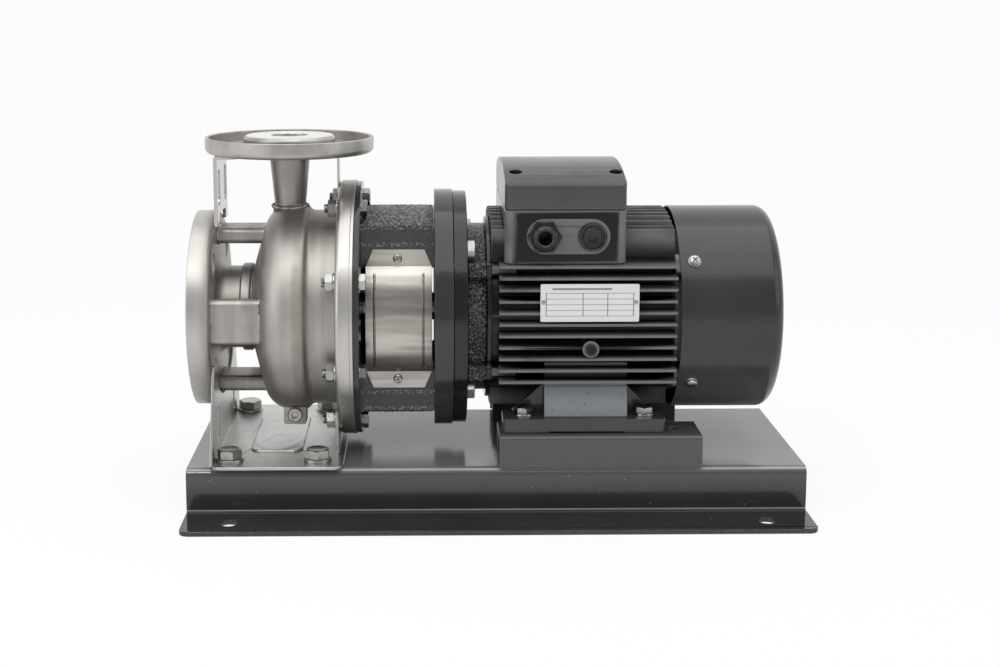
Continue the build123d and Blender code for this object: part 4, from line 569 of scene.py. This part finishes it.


# Flanges. Both are dishes pressed from 4 mm stainless with a rolled-out rim and a flat face pad,
# turned on the face and rim, so their grain runs round; painted shade darkens their bends and a painted
# highlight whitens the discharge pad. The strap under the discharge is bright sheet.
shaft_z, discharge_x = 0.157, -0.1738
suction_face, discharge_face, discharge_foot, discharge_bore = -0.255, 0.306, 0.28, 0.0166


def turned_grain(nodes, place, colour, rough, height):
    """Fine rings on the faces, painted shade on the rim's bend, brown heat tint inside the dish, and a
    near-white painted highlight over the discharge face pad and its bore.
    """
    x, y, z = nodes.axes(place)
    upright = z.above(discharge_foot)
    out = upright * ((x - discharge_x) ** 2.0 + y * y) ** 0.5
    out = out + (1 - upright) * ((z - shaft_z) ** 2.0 + y * y) ** 0.5
    along = upright * (discharge_face - z) + (1 - upright) * (x - suction_face)
    grain = nodes.add("ShaderNodeTexNoise", {"noise_dimensions": "1D"}, W=out * 900.0 + along * 1400.0,
                      Detail=2.0)
    cloud = nodes.noise(place, 38.0, 5.0)
    # Painted shade on the rim's bend, added to the real heat tint.
    bend = along.span(0.010, 0.0165)
    warm = (upright * 0.5 + 0.1) * cloud.span(0.3, 0.7) + bend * 0.35
    shade = mixed(nodes, warm, colour, (0.27, 0.24, 0.21))
    # Painted highlight: the discharge face pad and its bore are near white.
    pad = upright * along.below(0.0004).most(out.below(discharge_bore))
    shade = mixed(nodes, pad, shade, (0.86, 0.86, 0.85))
    shade = mixed(nodes, grain.span(0.4, 0.8) * 0.25, shade, (0.3, 0.29, 0.27))
    return shade, rough + bend * 0.1 - pad * 0.2, height + grain * 2


pressed = finish("pressed_flange", (0.54, 0.525, 0.5), 0.38, 1.0, patch=14.0, grain=2200.0, relief=0.00003,
                 change=turned_grain)
dressed("suction_dish", "suction_flange", pressed, "flange_steel", width=0.0006, rounds=3)
dressed("discharge_dish", "discharge_flange", pressed, "flange_steel", width=0.0006, rounds=3)
strap_sheet = finish("bright_strap", (0.6, 0.59, 0.57), 0.3, 1.0, drift=0.05, patch=26.0, grain=1800.0,
                     relief=0.00003, stretch=(1.0, 1.0, 0.15))
dressed("arched_strap", "flange_strap", strap_sheet, "flange_steel", width=0.0005)


# Welds. Beads of stacked ripples laid by hand where the pipe, struts and neck meet the pressings,
# with a straw to blue tint. Each is a round tube that swells at every ripple.
def bead(name, path, radius, ripple=0.0016):
    """A weld bead round a closed path of points, as a tube that swells and shrinks."""
    loop = [Vector(p) for p in path]
    loop.append(loop[0])
    marks = [0.0]
    for start, end in zip(loop, loop[1:]):
        marks.append(marks[-1] + (end - start).length)
    count, sides = int(marks[-1] / ripple * 4), 8
    work, rings, run = bmesh.new(), [], 0
    for i in range(count):
        far = marks[-1] * i / count
        while run < len(loop) - 2 and marks[run + 1] < far:
            run += 1
        way = (loop[run + 1] - loop[run]).normalized()
        centre = loop[run] + way * (far - marks[run])
        side = way.orthogonal().normalized()
        swell = radius * (1 + 0.2 * cos(2 * pi * far / ripple) + 0.25 * noise.noise(centre * 300))
        rings.append([work.verts.new(centre + Matrix.Rotation(2 * pi * k / sides, 3, way) @ side * swell)
                      for k in range(sides)])
    for one, two in zip(rings, rings[1:] + rings[:1]):
        shift = min(range(sides), key=lambda k: (one[0].co - two[k].co).length)
        for k in range(sides):
            two_now, two_next = two[(k + shift) % sides], two[(k + 1 + shift) % sides]
            work.faces.new((one[k], one[(k + 1) % sides], two_next, two_now))
    bmesh.ops.recalc_face_normals(work, faces=work.faces)
    mesh = meshed(name, work)
    mesh.materials.append(weld_metal)
    return belongs(linked(name, mesh), "casing_steel")


def weld_tint(nodes, place, colour, rough, height):
    """Straw, brown and blue over the ripples."""
    heat = nodes.noise(place, 130.0, 3.0)
    blued = mixed(nodes, heat.span(0.5, 0.7), colour, (0.2, 0.2, 0.24))
    return mixed(nodes, (1 - heat).span(0.5, 0.7), blued, (0.3, 0.22, 0.15)), rough, height


weld_metal = finish("weld_metal", (0.56, 0.53, 0.49), 0.22, 1.0, grain=1400.0, relief=0.00004,
                    change=weld_tint)


def turns(count):
    """Equal steps of an angle round a circle."""
    return [2 * pi * i / count for i in range(count)]


pipe_weld_x, pipe_radius = -0.2042, 0.0357
neck_radius, casing_radius, collar_radius, collar_z = 0.0142, 0.0882, 0.0172, 0.2895
bead("pipe_weld", [(pipe_weld_x, pipe_radius * cos(t), shaft_z + pipe_radius * sin(t))
                   for t in turns(72)], 0.0013)
saddle = []
for t in turns(72):
    across, along = neck_radius * sin(t), neck_radius * cos(t)
    saddle.append((discharge_x + along, across, shaft_z + sqrt(casing_radius**2 - across**2)))
bead("neck_weld", saddle, 0.0018)
bead("neck_top_weld", [(discharge_x + collar_radius * cos(t), collar_radius * sin(t), collar_z)
                       for t in turns(60)], 0.001)
cut, inset = 0.004, 0.0006
half_outline = ((1, 1, cut, 0), (1, 1, 0, cut), (1, -1, 0, cut), (1, -1, cut, 0))
for index, (low, high) in enumerate(solids("flange_struts")):
    middle, half_y, half_z = (low + high) / 2, (high.y - low.y) / 2, (high.z - low.z) / 2
    for end, x in (("front", low.x + inset), ("back", high.x - inset)):
        outline = [(x, middle.y + side * a * (half_y - in_y), middle.z + side * b * (half_z - in_z))
                   for side in (1, -1) for a, b, in_y, in_z in half_outline]
        bead(f"strut_weld_{end}_{index}", outline, 0.0008)


# Rim ring, back cover and ring bolts. The rim is a rolled stainless ring with a rounded front
# edge, and eight zinc-plated bolts clamp it, the cover and the lantern together.
turned_steel = finish("turned_rim", (0.52, 0.505, 0.48), 0.36, 1.0, patch=20.0, grain=2200.0, relief=0.00003,
                      stretch=(3.0, 0.4, 0.4))
dressed("rim_ring", "casing_flange_ring", turned_steel, "casing_steel", width=0.0005)
dressed("cover_plate", "back_cover", turned_steel, "casing_steel", width=0.0003)


def under_head(low, high):
    """How long a ring bolt is without its head."""
    return high.x - low.x - m8_bolt[-1]


def on_ring(low, high):
    """Whether a washer or nut belongs to the ring bolts."""
    return high.x < behind_ring


def on_feet(low, high):
    """Whether a washer or nut belongs to the motor's feet."""
    return low.x > behind_ring


bright_zinc = finish("bright_zinc", (0.41, 0.41, 0.4), 0.2, 1.0, grain=1500.0, relief=0.00002, change=plated)
bright = (bright_zinc, "bright_zinc")
to_motor, to_pump, behind_ring = (1, 0, 0), (-1, 0, 0), -0.1
m8_bolt = (0.004, 0.00125, 0.013, 0.0053)
m8_washer, m8_nut = (0.00425, 0.008, 0.0016), (0.00405, 0.013, 0.0065)
for length in sorted({round(under_head(*box), 5) for box in solids("ring_bolts")}):
    fitted(f"ring_bolts_{1000 * length:.0f}", "ring_bolts", bolt, m8_bolt, to_motor, bright,
           lambda low, high: abs(under_head(low, high) - length) < 0.0001, length=length)
fitted("ring_washers", "m8_washers", washer, m8_washer, to_pump, bright, on_ring)
fitted("ring_nuts", "m8_nuts", nut, m8_nut, to_pump, bright, on_ring)


# Lantern. A grey iron casting sprayed in thick glossy black: turned ring and flange at its ends,
# and two arms whose outsides keep the sand mould's coarse skin under the paint, with grey glints
# painted into its colour.
def sprayed(nodes, place, colour, rough, height):
    """Orange peel in the paint, and specks of dust."""
    peel = nodes.noise(place, 240.0, 1.0)
    dust = nodes.noise(place, 1100.0, 2.0)
    speck = dust.span(0.72, 0.76)
    return mixed(nodes, speck * 0.3, colour, (0.1, 0.1, 0.1)), rough + speck * 0.2, height * 0.3 + peel * 2


def flecked(nodes, place, colour, where):
    """Painted glints: grey flecks in the colour that stand for highlights on thick paint over a sand-cast
    skin.
    """
    grains = nodes.noise(place, 560.0, 2.0)
    return mixed(nodes, grains.span(0.49, 0.62) * where, colour, (0.24, 0.24, 0.245))


def cast_edges(nodes, place, colour, rough, height):
    """Painted glints along the edges of the arms, and a few over the rest of them, on sprayed paint."""
    colour, rough, height = sprayed(nodes, place, colour, rough, height)
    arm_x, arm_half, arm_foot, inner_edge, outer_edge = -0.0815, 0.0308, 0.04, 0.0625, 0.077
    x, _, z = nodes.axes(place)
    off = (z - shaft_z).size()
    # Painted glints: a mask along the arms' inner and outer edges.
    edges = (1 - (off - outer_edge).size().span(0.0016, 0.0024)).most(
        1 - (off - inner_edge).size().span(0.0014, 0.0022))
    arm = (x - arm_x).size().below(arm_half) * off.above(arm_foot)
    return flecked(nodes, place, colour, (edges * 0.6 + 0.07) * arm), rough, height


gloss_black = finish("gloss_black_paint", (0.028, 0.028, 0.0285), 0.12, grain=900.0, relief=0.00004,
                     swing=0.04, change=cast_edges)
dressed("lantern_casting", "lantern", gloss_black, "cast_black", width=0.0006)
skin_x, skin_length, skin_half, lengthwise, crosswise = -0.1118, 0.0606, 0.0536, 76, 132
crown, crown_drop, skin_lift, lump_height, rim_depth = 0.2118, 0.126, 0.0005, 0.00055, 0.0004


def skin_point(side, i, j):
    """A lumpy point over the upper or lower arm, sunk into the arm at the skin's rim."""
    x, across = skin_x + skin_length * i / lengthwise, -skin_half + 2 * skin_half * j / crosswise
    arc = Vector((0, across, sqrt(crown**2 - across**2) - crown_drop))
    out = Vector((0, across, arc.z + crown_drop)).normalized()
    place = Vector((x, across, side * arc.z)) * 1000
    lump = 1.5 * noise.noise(place / 2.4) + 0.9 * noise.noise(place / 1.3)
    rim = min(1.0, min(i, lengthwise - i, j, crosswise - j) / 2)
    arc += out * (rim * (skin_lift + lump_height * lump) - (1 - rim) * rim_depth)
    return x, arc.y, shaft_z + side * arc.z


work = bmesh.new()
for side in (1, -1):
    rows = [[work.verts.new(skin_point(side, i, j)) for j in range(crosswise + 1)]
            for i in range(lengthwise + 1)]
    for one, two in zip(rows, rows[1:]):
        for j in range(crosswise):
            corners = (one[j], one[j + 1], two[j + 1], two[j])
            work.faces.new(corners if side < 0 else corners[::-1])
rough_skin = meshed("arm_skin", work)
# The skin's colour carries painted glints.
rough_skin.materials.append(finish(
    "rough_black_paint", (0.004, 0.004, 0.0045), 0.12, grain=520.0, relief=0.0016, swing=0.03,
    change=lambda nodes, place, colour, rough, height: (
        flecked(nodes, place, colour, 0.7), rough, height),
))
skin = linked("arm_skin", rough_skin)
wall = skin.modifiers.new("wall", "SOLIDIFY")
wall.thickness, wall.offset = 0.0008, -1
belongs(settled(skin), "cast_black")


# Coupling guards. Thin bright stainless sheet rolled round the lantern's windows, with two rolled
# beads, and held by cross-recessed pan screws through folded tabs. Darker horizontal bands of
# painted reflection lie on the sheet.
def bright_rolled(nodes, place, colour, rough, height):
    """Mill lines along the sheet, broad darker bands of painted reflection, and smears."""
    lines = nodes.noise(place, (60.0, 900.0, 2600.0), 3.0)
    bands = nodes.noise(place, (9.0, 0.0, 95.0), 2.0)
    # Painted reflection: broad darker horizontal bands.
    colour = mixed(nodes, bands.span(0.42, 0.6) * 0.6, colour, (0.26, 0.24, 0.215))
    smears = nodes.noise(place, 70.0, 4.0)
    colour = mixed(nodes, lines.span(0.4, 0.8) * 0.3, colour, (0.36, 0.34, 0.32))
    return colour, rough + smears * 0.1, height + lines


guard_sheet = finish("bright_rolled_sheet", (0.5, 0.475, 0.44), 0.24, 1.0, grain=2000.0, relief=0.00001,
                     change=bright_rolled)
dressed("front_guard", "guard_front", guard_sheet, "guard_steel", width=0.0002)
dressed("back_guard", "guard_back", guard_sheet, "guard_steel", width=0.0002)


def cross(reach, half):
    """Radius of a cross-shaped recess at an angle."""
    def rule(angle):
        along, across = max(abs(cos(angle)), 1e-6), max(abs(sin(angle)), 1e-6)
        return max(min(reach / along, half / across), min(half / along, reach / across))
    return rule


def pan_screw(radius, head, height, length):
    """A pan-head screw with a cross recess."""
    return lathed("screw", [
        (0, -length), (radius, -length), (radius, 0), (head, 0), (head, height * 0.4),
        (head * 0.94, height * 0.68), (head * 0.8, height * 0.86), (head * 0.62, height * 0.95),
        (cross(head * 0.52, head * 0.15), height), (cross(head * 0.4, head * 0.11), height * 0.25),
        (0, height * 0.1),
    ], 96)


guard_spots, guard_head = [], 0.0022
for low, high in solids("guard_screws"):
    spot, outward = (low + high) / 2, -1 if low.y + high.y < 0 else 1
    spot.y = (low if outward < 0 else high).y - outward * guard_head
    guard_spots.append((spot, (0, outward, 0)))
placed("guard_pan_screws", pan_screw(0.002, 0.0038, guard_head, 0.008), *bright, guard_spots, "guard_screws")


# Drive-end shield and its bolts. The motor's cast-iron end, glossy black like the lantern, has a
# turned flange, a rough neck with four lugs and a smooth collar; four M10 bolts hold it.
def rough_neck(nodes, place, colour, rough, height):
    """A coarse cast skin on the neck between the flange and the collar, its colour lighter on the lumps and
    with painted glints.
    """
    neck_start, neck_end, blend = -0.0235, -0.008, 0.001
    x = nodes.axes(place)[0]
    neck = x.span(neck_start, neck_start + blend) * (1 - x.span(neck_end - blend, neck_end))
    coarse = nodes.noise(place, 330.0, 3.0)
    colour, rough, height = sprayed(nodes, place, colour, rough, height)
    # The colour is lighter on the lumps, and painted glints lie over the neck.
    dull = mixed(nodes, neck * coarse.span(0.35, 0.7) * 0.6, colour, (0.05, 0.05, 0.05))
    dull = flecked(nodes, place, dull, neck * 0.6)
    return dull, rough + neck * 0.05, height + neck * coarse * 75


shield_black = finish("shield_black_paint", (0.005, 0.005, 0.0055), 0.15, grain=900.0, relief=0.00004,
                      change=rough_neck)
dressed("shield_casting", "drive_end_shield", shield_black, "cast_black", width=0.0008)
m10_bolt, m10_length = (0.005, 0.0015, 0.016, 0.0064), 0.025
fitted("flange_hex_bolts", "lantern_bolts", bolt, m10_bolt, to_motor, bright, length=m10_length)


# Motor frame. A die-cast aluminium body with long fins, in satin black paint, with painted
# highlights that lighten the fins' edges.
def thin_on_edges(nodes, place, colour, rough, height):
    """Painted highlights that lighten corners, with cloudy gloss and a few specks."""
    worn = nodes.add("ShaderNodeNewGeometry", out="Pointiness")
    cloud = nodes.noise(place, 26.0, 4.0)
    spots = nodes.noise(place, 850.0, 1.0)
    # Painted highlight on the sharpest edges, broken up by a cloud.
    edge = worn.span(0.51, 0.55) * cloud.span(0.1, 0.5)
    speck = spots.span(0.74, 0.77)
    shade = mixed(nodes, edge.most(speck * 0.4), colour, (0.14, 0.14, 0.14))
    return shade, rough + (cloud - 0.5) * 0.1, height + spots


satin_black = finish("satin_black_paint", (0.004, 0.004, 0.004), 0.2, grain=1500.0, relief=0.00003,
                     gloss_level=0.3, change=thin_on_edges)
dressed("finned_frame", "motor_frame", satin_black, "motor_black", width=0.0004)
dressed("rear_shield_casting", "rear_end_shield", satin_black, "motor_black", width=0.0004)


# Nameplate. Bare aluminium, printed with an empty ruled form in grey and held by two drive rivets
# on the fins' front.
def ruled_form(nodes, place, colour, rough, height):
    """Printed rows and columns with a bar at their head; no lettering."""
    x, _, z = nodes.axes(place)
    u, v = (x - plate_left) / plate_length, (z - plate_foot) / plate_height
    row = ((v * 6.6).maths("FRACT") - 0.5).size().above(0.45) * v.below(0.78)
    column = 0.0
    for line in (0.058, 0.43, 0.68, 0.942):
        column = (u - line).size().below(0.005) + column
    column = column * v.below(0.76) * v.above(0.15)
    inside = (u - 0.5).size().below(0.45) * (v - 0.5).size().below(0.46)
    head = (v - 0.87).size().below(0.025) * (u - 0.42).size().below(0.3)
    ink = (row + column + head).least(1.0) * inside * 0.8
    return mixed(nodes, ink, colour, (0.12, 0.12, 0.13)), rough, height


plate_left, plate_length, plate_foot, plate_height = 0.0348, 0.0803, 0.161, 0.0311
plate_thick, rivet_inset = 0.0008, 0.0025
plate_right, plate_top = plate_left + plate_length, plate_foot + plate_height
fin_face = min(v.co.y for v in frame["nodes"]["motor_frame"].data.vertices
               if plate_left < v.co.x < plate_right and plate_foot < v.co.z < plate_top)
plate_middle = (plate_left + plate_length / 2, fin_face - plate_thick / 2, plate_foot + plate_height / 2)
work = bmesh.new()
bmesh.ops.create_cube(work, size=1.0, matrix=Matrix.Translation(plate_middle) @ Matrix.Diagonal(
    (plate_length, plate_thick, plate_height, 1)))
corner_edges = [e for e in work.edges if abs(e.verts[0].co.y - e.verts[1].co.y) > plate_thick / 2]
bmesh.ops.bevel(work, geom=corner_edges, offset=0.0012, segments=4, affect="EDGES", profile=0.5)
plate_mesh = meshed("nameplate", work, smooth=False)
plate_mesh.materials.append(finish(
    "printed_aluminium", (0.74, 0.74, 0.73), 0.34, 0.6, grain=1600.0, relief=0.00001,
    stretch=(0.05, 1.0, 1.0), change=ruled_form))
belongs(linked("nameplate", plate_mesh), "plate_silver")
rivet = lathed("rivet", [(0, -0.003), (0.001, -0.003), (0.001, 0), (0.0019, 0), (0.0017, 0.0006),
                         (0.001, 0.001), (0, 0.0011)], 24)
placed("plate_rivets", rivet, bright_zinc, "plate_silver",
       [((x, fin_face - plate_thick, plate_foot + plate_height * 0.52), to_front)
        for x in (plate_left + rivet_inset, plate_right - rivet_inset)])


# Motor feet and supports. The feet are cast iron in gloss black with webs up to the frame, and a
# painted reflection lightens each pedestal's face; each is bolted down through slots to a folded
# channel that is welded to the base.
def bare_pad(nodes, place, colour, rough, height):
    """A painted reflection that lightens the pedestal's face, with small pits."""
    pad_x, pad_half, pad_side, pad_foot = 0.07375, 0.0343, 0.0725, 0.0795
    x, y, z = nodes.axes(place)
    face = (x - pad_x).size().below(pad_half) * y.size().above(pad_side) * z.above(pad_foot)
    pits = nodes.noise(place, 420.0, 2.0).span(0.66, 0.7)
    colour, rough, height = sprayed(nodes, place, colour, rough, height)
    # Painted reflection: the pedestal's face is lighter grey.
    colour = mixed(nodes, face * (1 - pits * 0.6), colour, (0.21, 0.222, 0.235))
    return colour, rough + face * 0.06, height


foot_black = finish("foot_black_paint", (0.035, 0.0355, 0.0365), 0.16, grain=800.0, relief=0.00004,
                    change=bare_pad)
dressed("cast_feet", "motor_feet", foot_black, "cast_black", width=0.0007)
dressed("folded_supports", "motor_supports", black_enamel, "base_black", width=0.0005)
foot_bolt_length = 0.0273
fitted("motor_foot_hex_bolts", "motor_foot_bolts", bolt, m8_bolt, to_top, bright, length=foot_bolt_length)
fitted("motor_foot_washers", "m8_washers", washer, m8_washer, to_top, bright, on_feet)
fitted("motor_foot_nuts", "m8_nuts", nut, m8_nut, to_floor, bright, on_feet)


# Terminal box. A die-cast box in the frame's satin black, a rubber gasket, and a lid in a slightly
# lighter, finely textured paint. Four socket screws sit in its wells, and one more, for the earth,
# in a boss of the motor's frame.
dressed("box_casting", "terminal_box", satin_black, "motor_black", width=0.0006)
rubber = finish("black_rubber", (0.015, 0.015, 0.015), 0.6, grain=700.0, relief=0.00004)
dressed("lid_seal", "lid_gasket", rubber, "rubber_black", width=0)
# The lid's paint has painted highlights on its corners too.
lid_paint = finish("lid_grey_paint", (0.0085, 0.0083, 0.0078), 0.2, gloss_level=0.22, patch=30.0,
                   grain=1100.0, relief=0.00004, change=thin_on_edges)
dressed("lid_casting", "terminal_lid", lid_paint, "lid_grey", width=0.0008, rounds=3)
dark_screw = finish("blackened_screw", (0.03, 0.03, 0.03), 0.3, 0.8, grain=1500.0, relief=0.00002,
                    change=plated)


def cap_screw(radius, head, height, length, flats):
    """A socket-head cap screw."""
    return lathed("screw", [
        (0, -length), (radius, -length), (radius, 0), (head, 0), (head, height * 0.9),
        (head * 0.93, height), (flats * 0.6, height), (hexagon(flats), height - 0.0004),
        (hexagon(flats), height * 0.4), (0, height * 0.35),
    ])


earth_head, lid_head = 0.003, 0.005
placed("earth_cap_screw", cap_screw(0.0025, 0.0045, earth_head, 0.01, 0.0045), dark_screw, "bright_zinc",
       seats("earth_screw", to_front, earth_head), "earth_screw")
placed("lid_cap_screws", cap_screw(0.0025, 0.0045, lid_head, 0.02, 0.004), dark_screw, "bright_zinc",
       seats("lid_screws", to_top, lid_head), "lid_screws")


# Cable gland and blind plug. Moulded black nylon: a hexagon body and a round domed cap with an
# open mouth, and a round plug with a recess for a key. Each is screwed into a raised pad.
nylon = finish("black_nylon", (0.011, 0.011, 0.0115), 0.15, grain=900.0, relief=0.00004)
entry_y, entry_z = -0.08, 0.23
gland_spot, plug_spot = ([((x, entry_y, entry_z), to_front)] for x in (0.038, 0.077))
grips = [(lambda angle, add=add: 0.0108 + add * (1 if (angle * 12 / pi) % 2 < 1 else 0), z)
         for add, z in ((0.0, 0.0056), (0.0003, 0.006), (0.0003, 0.0105), (0.0, 0.011))]
gland_form = lathed("gland", [
    (0.0055, -0.009), (0.01, -0.009), (0.01, 0.0), (hexagon(0.025), 0.0), (hexagon(0.025), 0.0045),
    (0.0118, 0.005), (0.0108, 0.0052), *grips, (0.0104, 0.0122), (0.0096, 0.0134), (0.0086, 0.014),
    (0.0066, 0.0138), (0.0055, 0.0128), (0.0055, 0.006)], 96)
placed("gland", gland_form, nylon, "plastic_black", gland_spot, "cable_gland", turn=0.0)
plug_form = lathed("plug", [
    (0, -0.009), (0.01, -0.009), (0.01, 0), (0.0118, 0), (0.0118, 0.0022), (0.0114, 0.003), (0.0106, 0.0034),
    (0.0098, 0.003), (0.0094, 0.0006), (0.0079, 0.0006), (0.0076, 0.0026), (0.007, 0.0031), (0.0045, 0.0031),
    (hexagon(0.0064), 0.0028), (hexagon(0.0064), 0.0008), (0, 0.0006)], 96)
placed("plug", plug_form, nylon, "plastic_black", plug_spot, "blind_plug", turn=0.0)


# Fan cowl. Drawn steel sheet in a smoother dark grey, deep over the fan, with a rolled shoulder at
# its end, painted sheen on its top and painted light from the floor on its lower part; pan screws on
# plain washers hold it to the rear shield.
def cowl_sheen(nodes, place, colour, rough, height):
    """Long soft waves of the sheet, painted sheen lighter at the top and along the waves, and painted light
    from the floor below.
    """
    wave = nodes.noise(place, (3.0, 16.0, 16.0), 2.0)
    z = nodes.axes(place)[2]
    top, low = z.span(0.208, 0.222), 1 - z.span(0.075, 0.14)
    peel = nodes.noise(place, 420.0, 1.0)
    # Painted sheen on the top and the waves; painted light from the floor below on the lower part.
    shade = mixed(nodes, top * 0.6 + wave.span(0.4, 0.7) * 0.15, colour, (0.04, 0.036, 0.034))
    shade = mixed(nodes, low, shade, (0.07, 0.072, 0.076))
    return shade, rough + (wave - 0.5) * 0.08, height + peel * 3


cowl_paint = finish("cowl_grey_paint", (0.024, 0.024, 0.024), 0.2, patch=10.0, grain=1200.0, relief=0.00003,
                    change=cowl_sheen)
dressed("drawn_cowl", "fan_cowl", cowl_paint, "cowl_grey", width=0.0004)
cowl_spots, cowl_radius, washer_thick = [], 0.0868, 0.001
for low, high in solids("cowl_screws"):
    middle = (low + high) / 2
    way = Vector((0, middle.y, middle.z - shaft_z)).normalized()
    cowl_spots.append((Vector((middle.x, 0, shaft_z)) + way * cowl_radius, way))
placed("cowl_washers", washer(0.0026, 0.00525, washer_thick), *bright, cowl_spots, "cowl_screws")
placed("cowl_pan_screws", pan_screw(0.0025, 0.0045, 0.0028, 0.012), *bright,
       [(spot + way * washer_thick, way) for spot, way in cowl_spots], "cowl_screws")


# Turning and inner parts, which show only through openings or with covers off: ground shafts, a
# cast cage rotor, sheet stacks, varnished windings, polished bearings and a nylon fan.
def turned_lines(nodes, place, colour, rough, height):
    """Rings left by the lathe or by a stack's sheets."""
    line = (nodes.axes(place)[0] * 2400.0).maths("SINE")
    return mixed(nodes, line * 0.1 + 0.1, colour, (0.2, 0.2, 0.2)), rough, height + line


def wound(nodes, place, colour, rough, height):
    """Wires side by side under varnish."""
    wires = nodes.add("ShaderNodeTexWave", None, Vector=place, Scale=320.0, Distortion=3.0)
    return mixed(nodes, wires * 0.5, colour, (0.2, 0.07, 0.03)), rough, height + wires * 4


inner = {
    "shaft_steel": finish("ground_steel", (0.5, 0.5, 0.51), 0.2, 1.0, relief=0.00001, change=turned_lines),
    "bearing_steel": finish("bearing_steel", (0.6, 0.6, 0.61), 0.09, 1.0, grain=1500.0, relief=0.000005),
    "core_steel": finish("sheet_stack", (0.16, 0.16, 0.17), 0.45, 0.8, relief=0.00008, change=turned_lines),
    "copper": finish("varnished_copper", (0.5, 0.2, 0.09), 0.25, 0.6, relief=0.0001, coat=0.6, change=wound),
    "aluminium": finish("cast_aluminium", (0.6, 0.6, 0.61), 0.4, 1.0, grain=500.0, relief=0.0001),
    "board_brown": finish("phenolic", (0.1, 0.045, 0.02), 0.4, grain=600.0, relief=0.00004),
    "seal_grey": finish("seal_carbon", (0.05, 0.05, 0.055), 0.3, grain=900.0, relief=0.00002),
    "casing_steel": blasted, "bright_zinc": bright_zinc, "plastic_black": nylon, "rubber_black": rubber,
}
slots = {part["node"]: part["material_slot"] for part in frame["record"]["subparts"]}
for node, thing in frame["nodes"].items():
    if not thing.hide_render and slots[node] in inner:
        thing.data.materials.clear()
        thing.data.materials.append(inner[slots[node]])
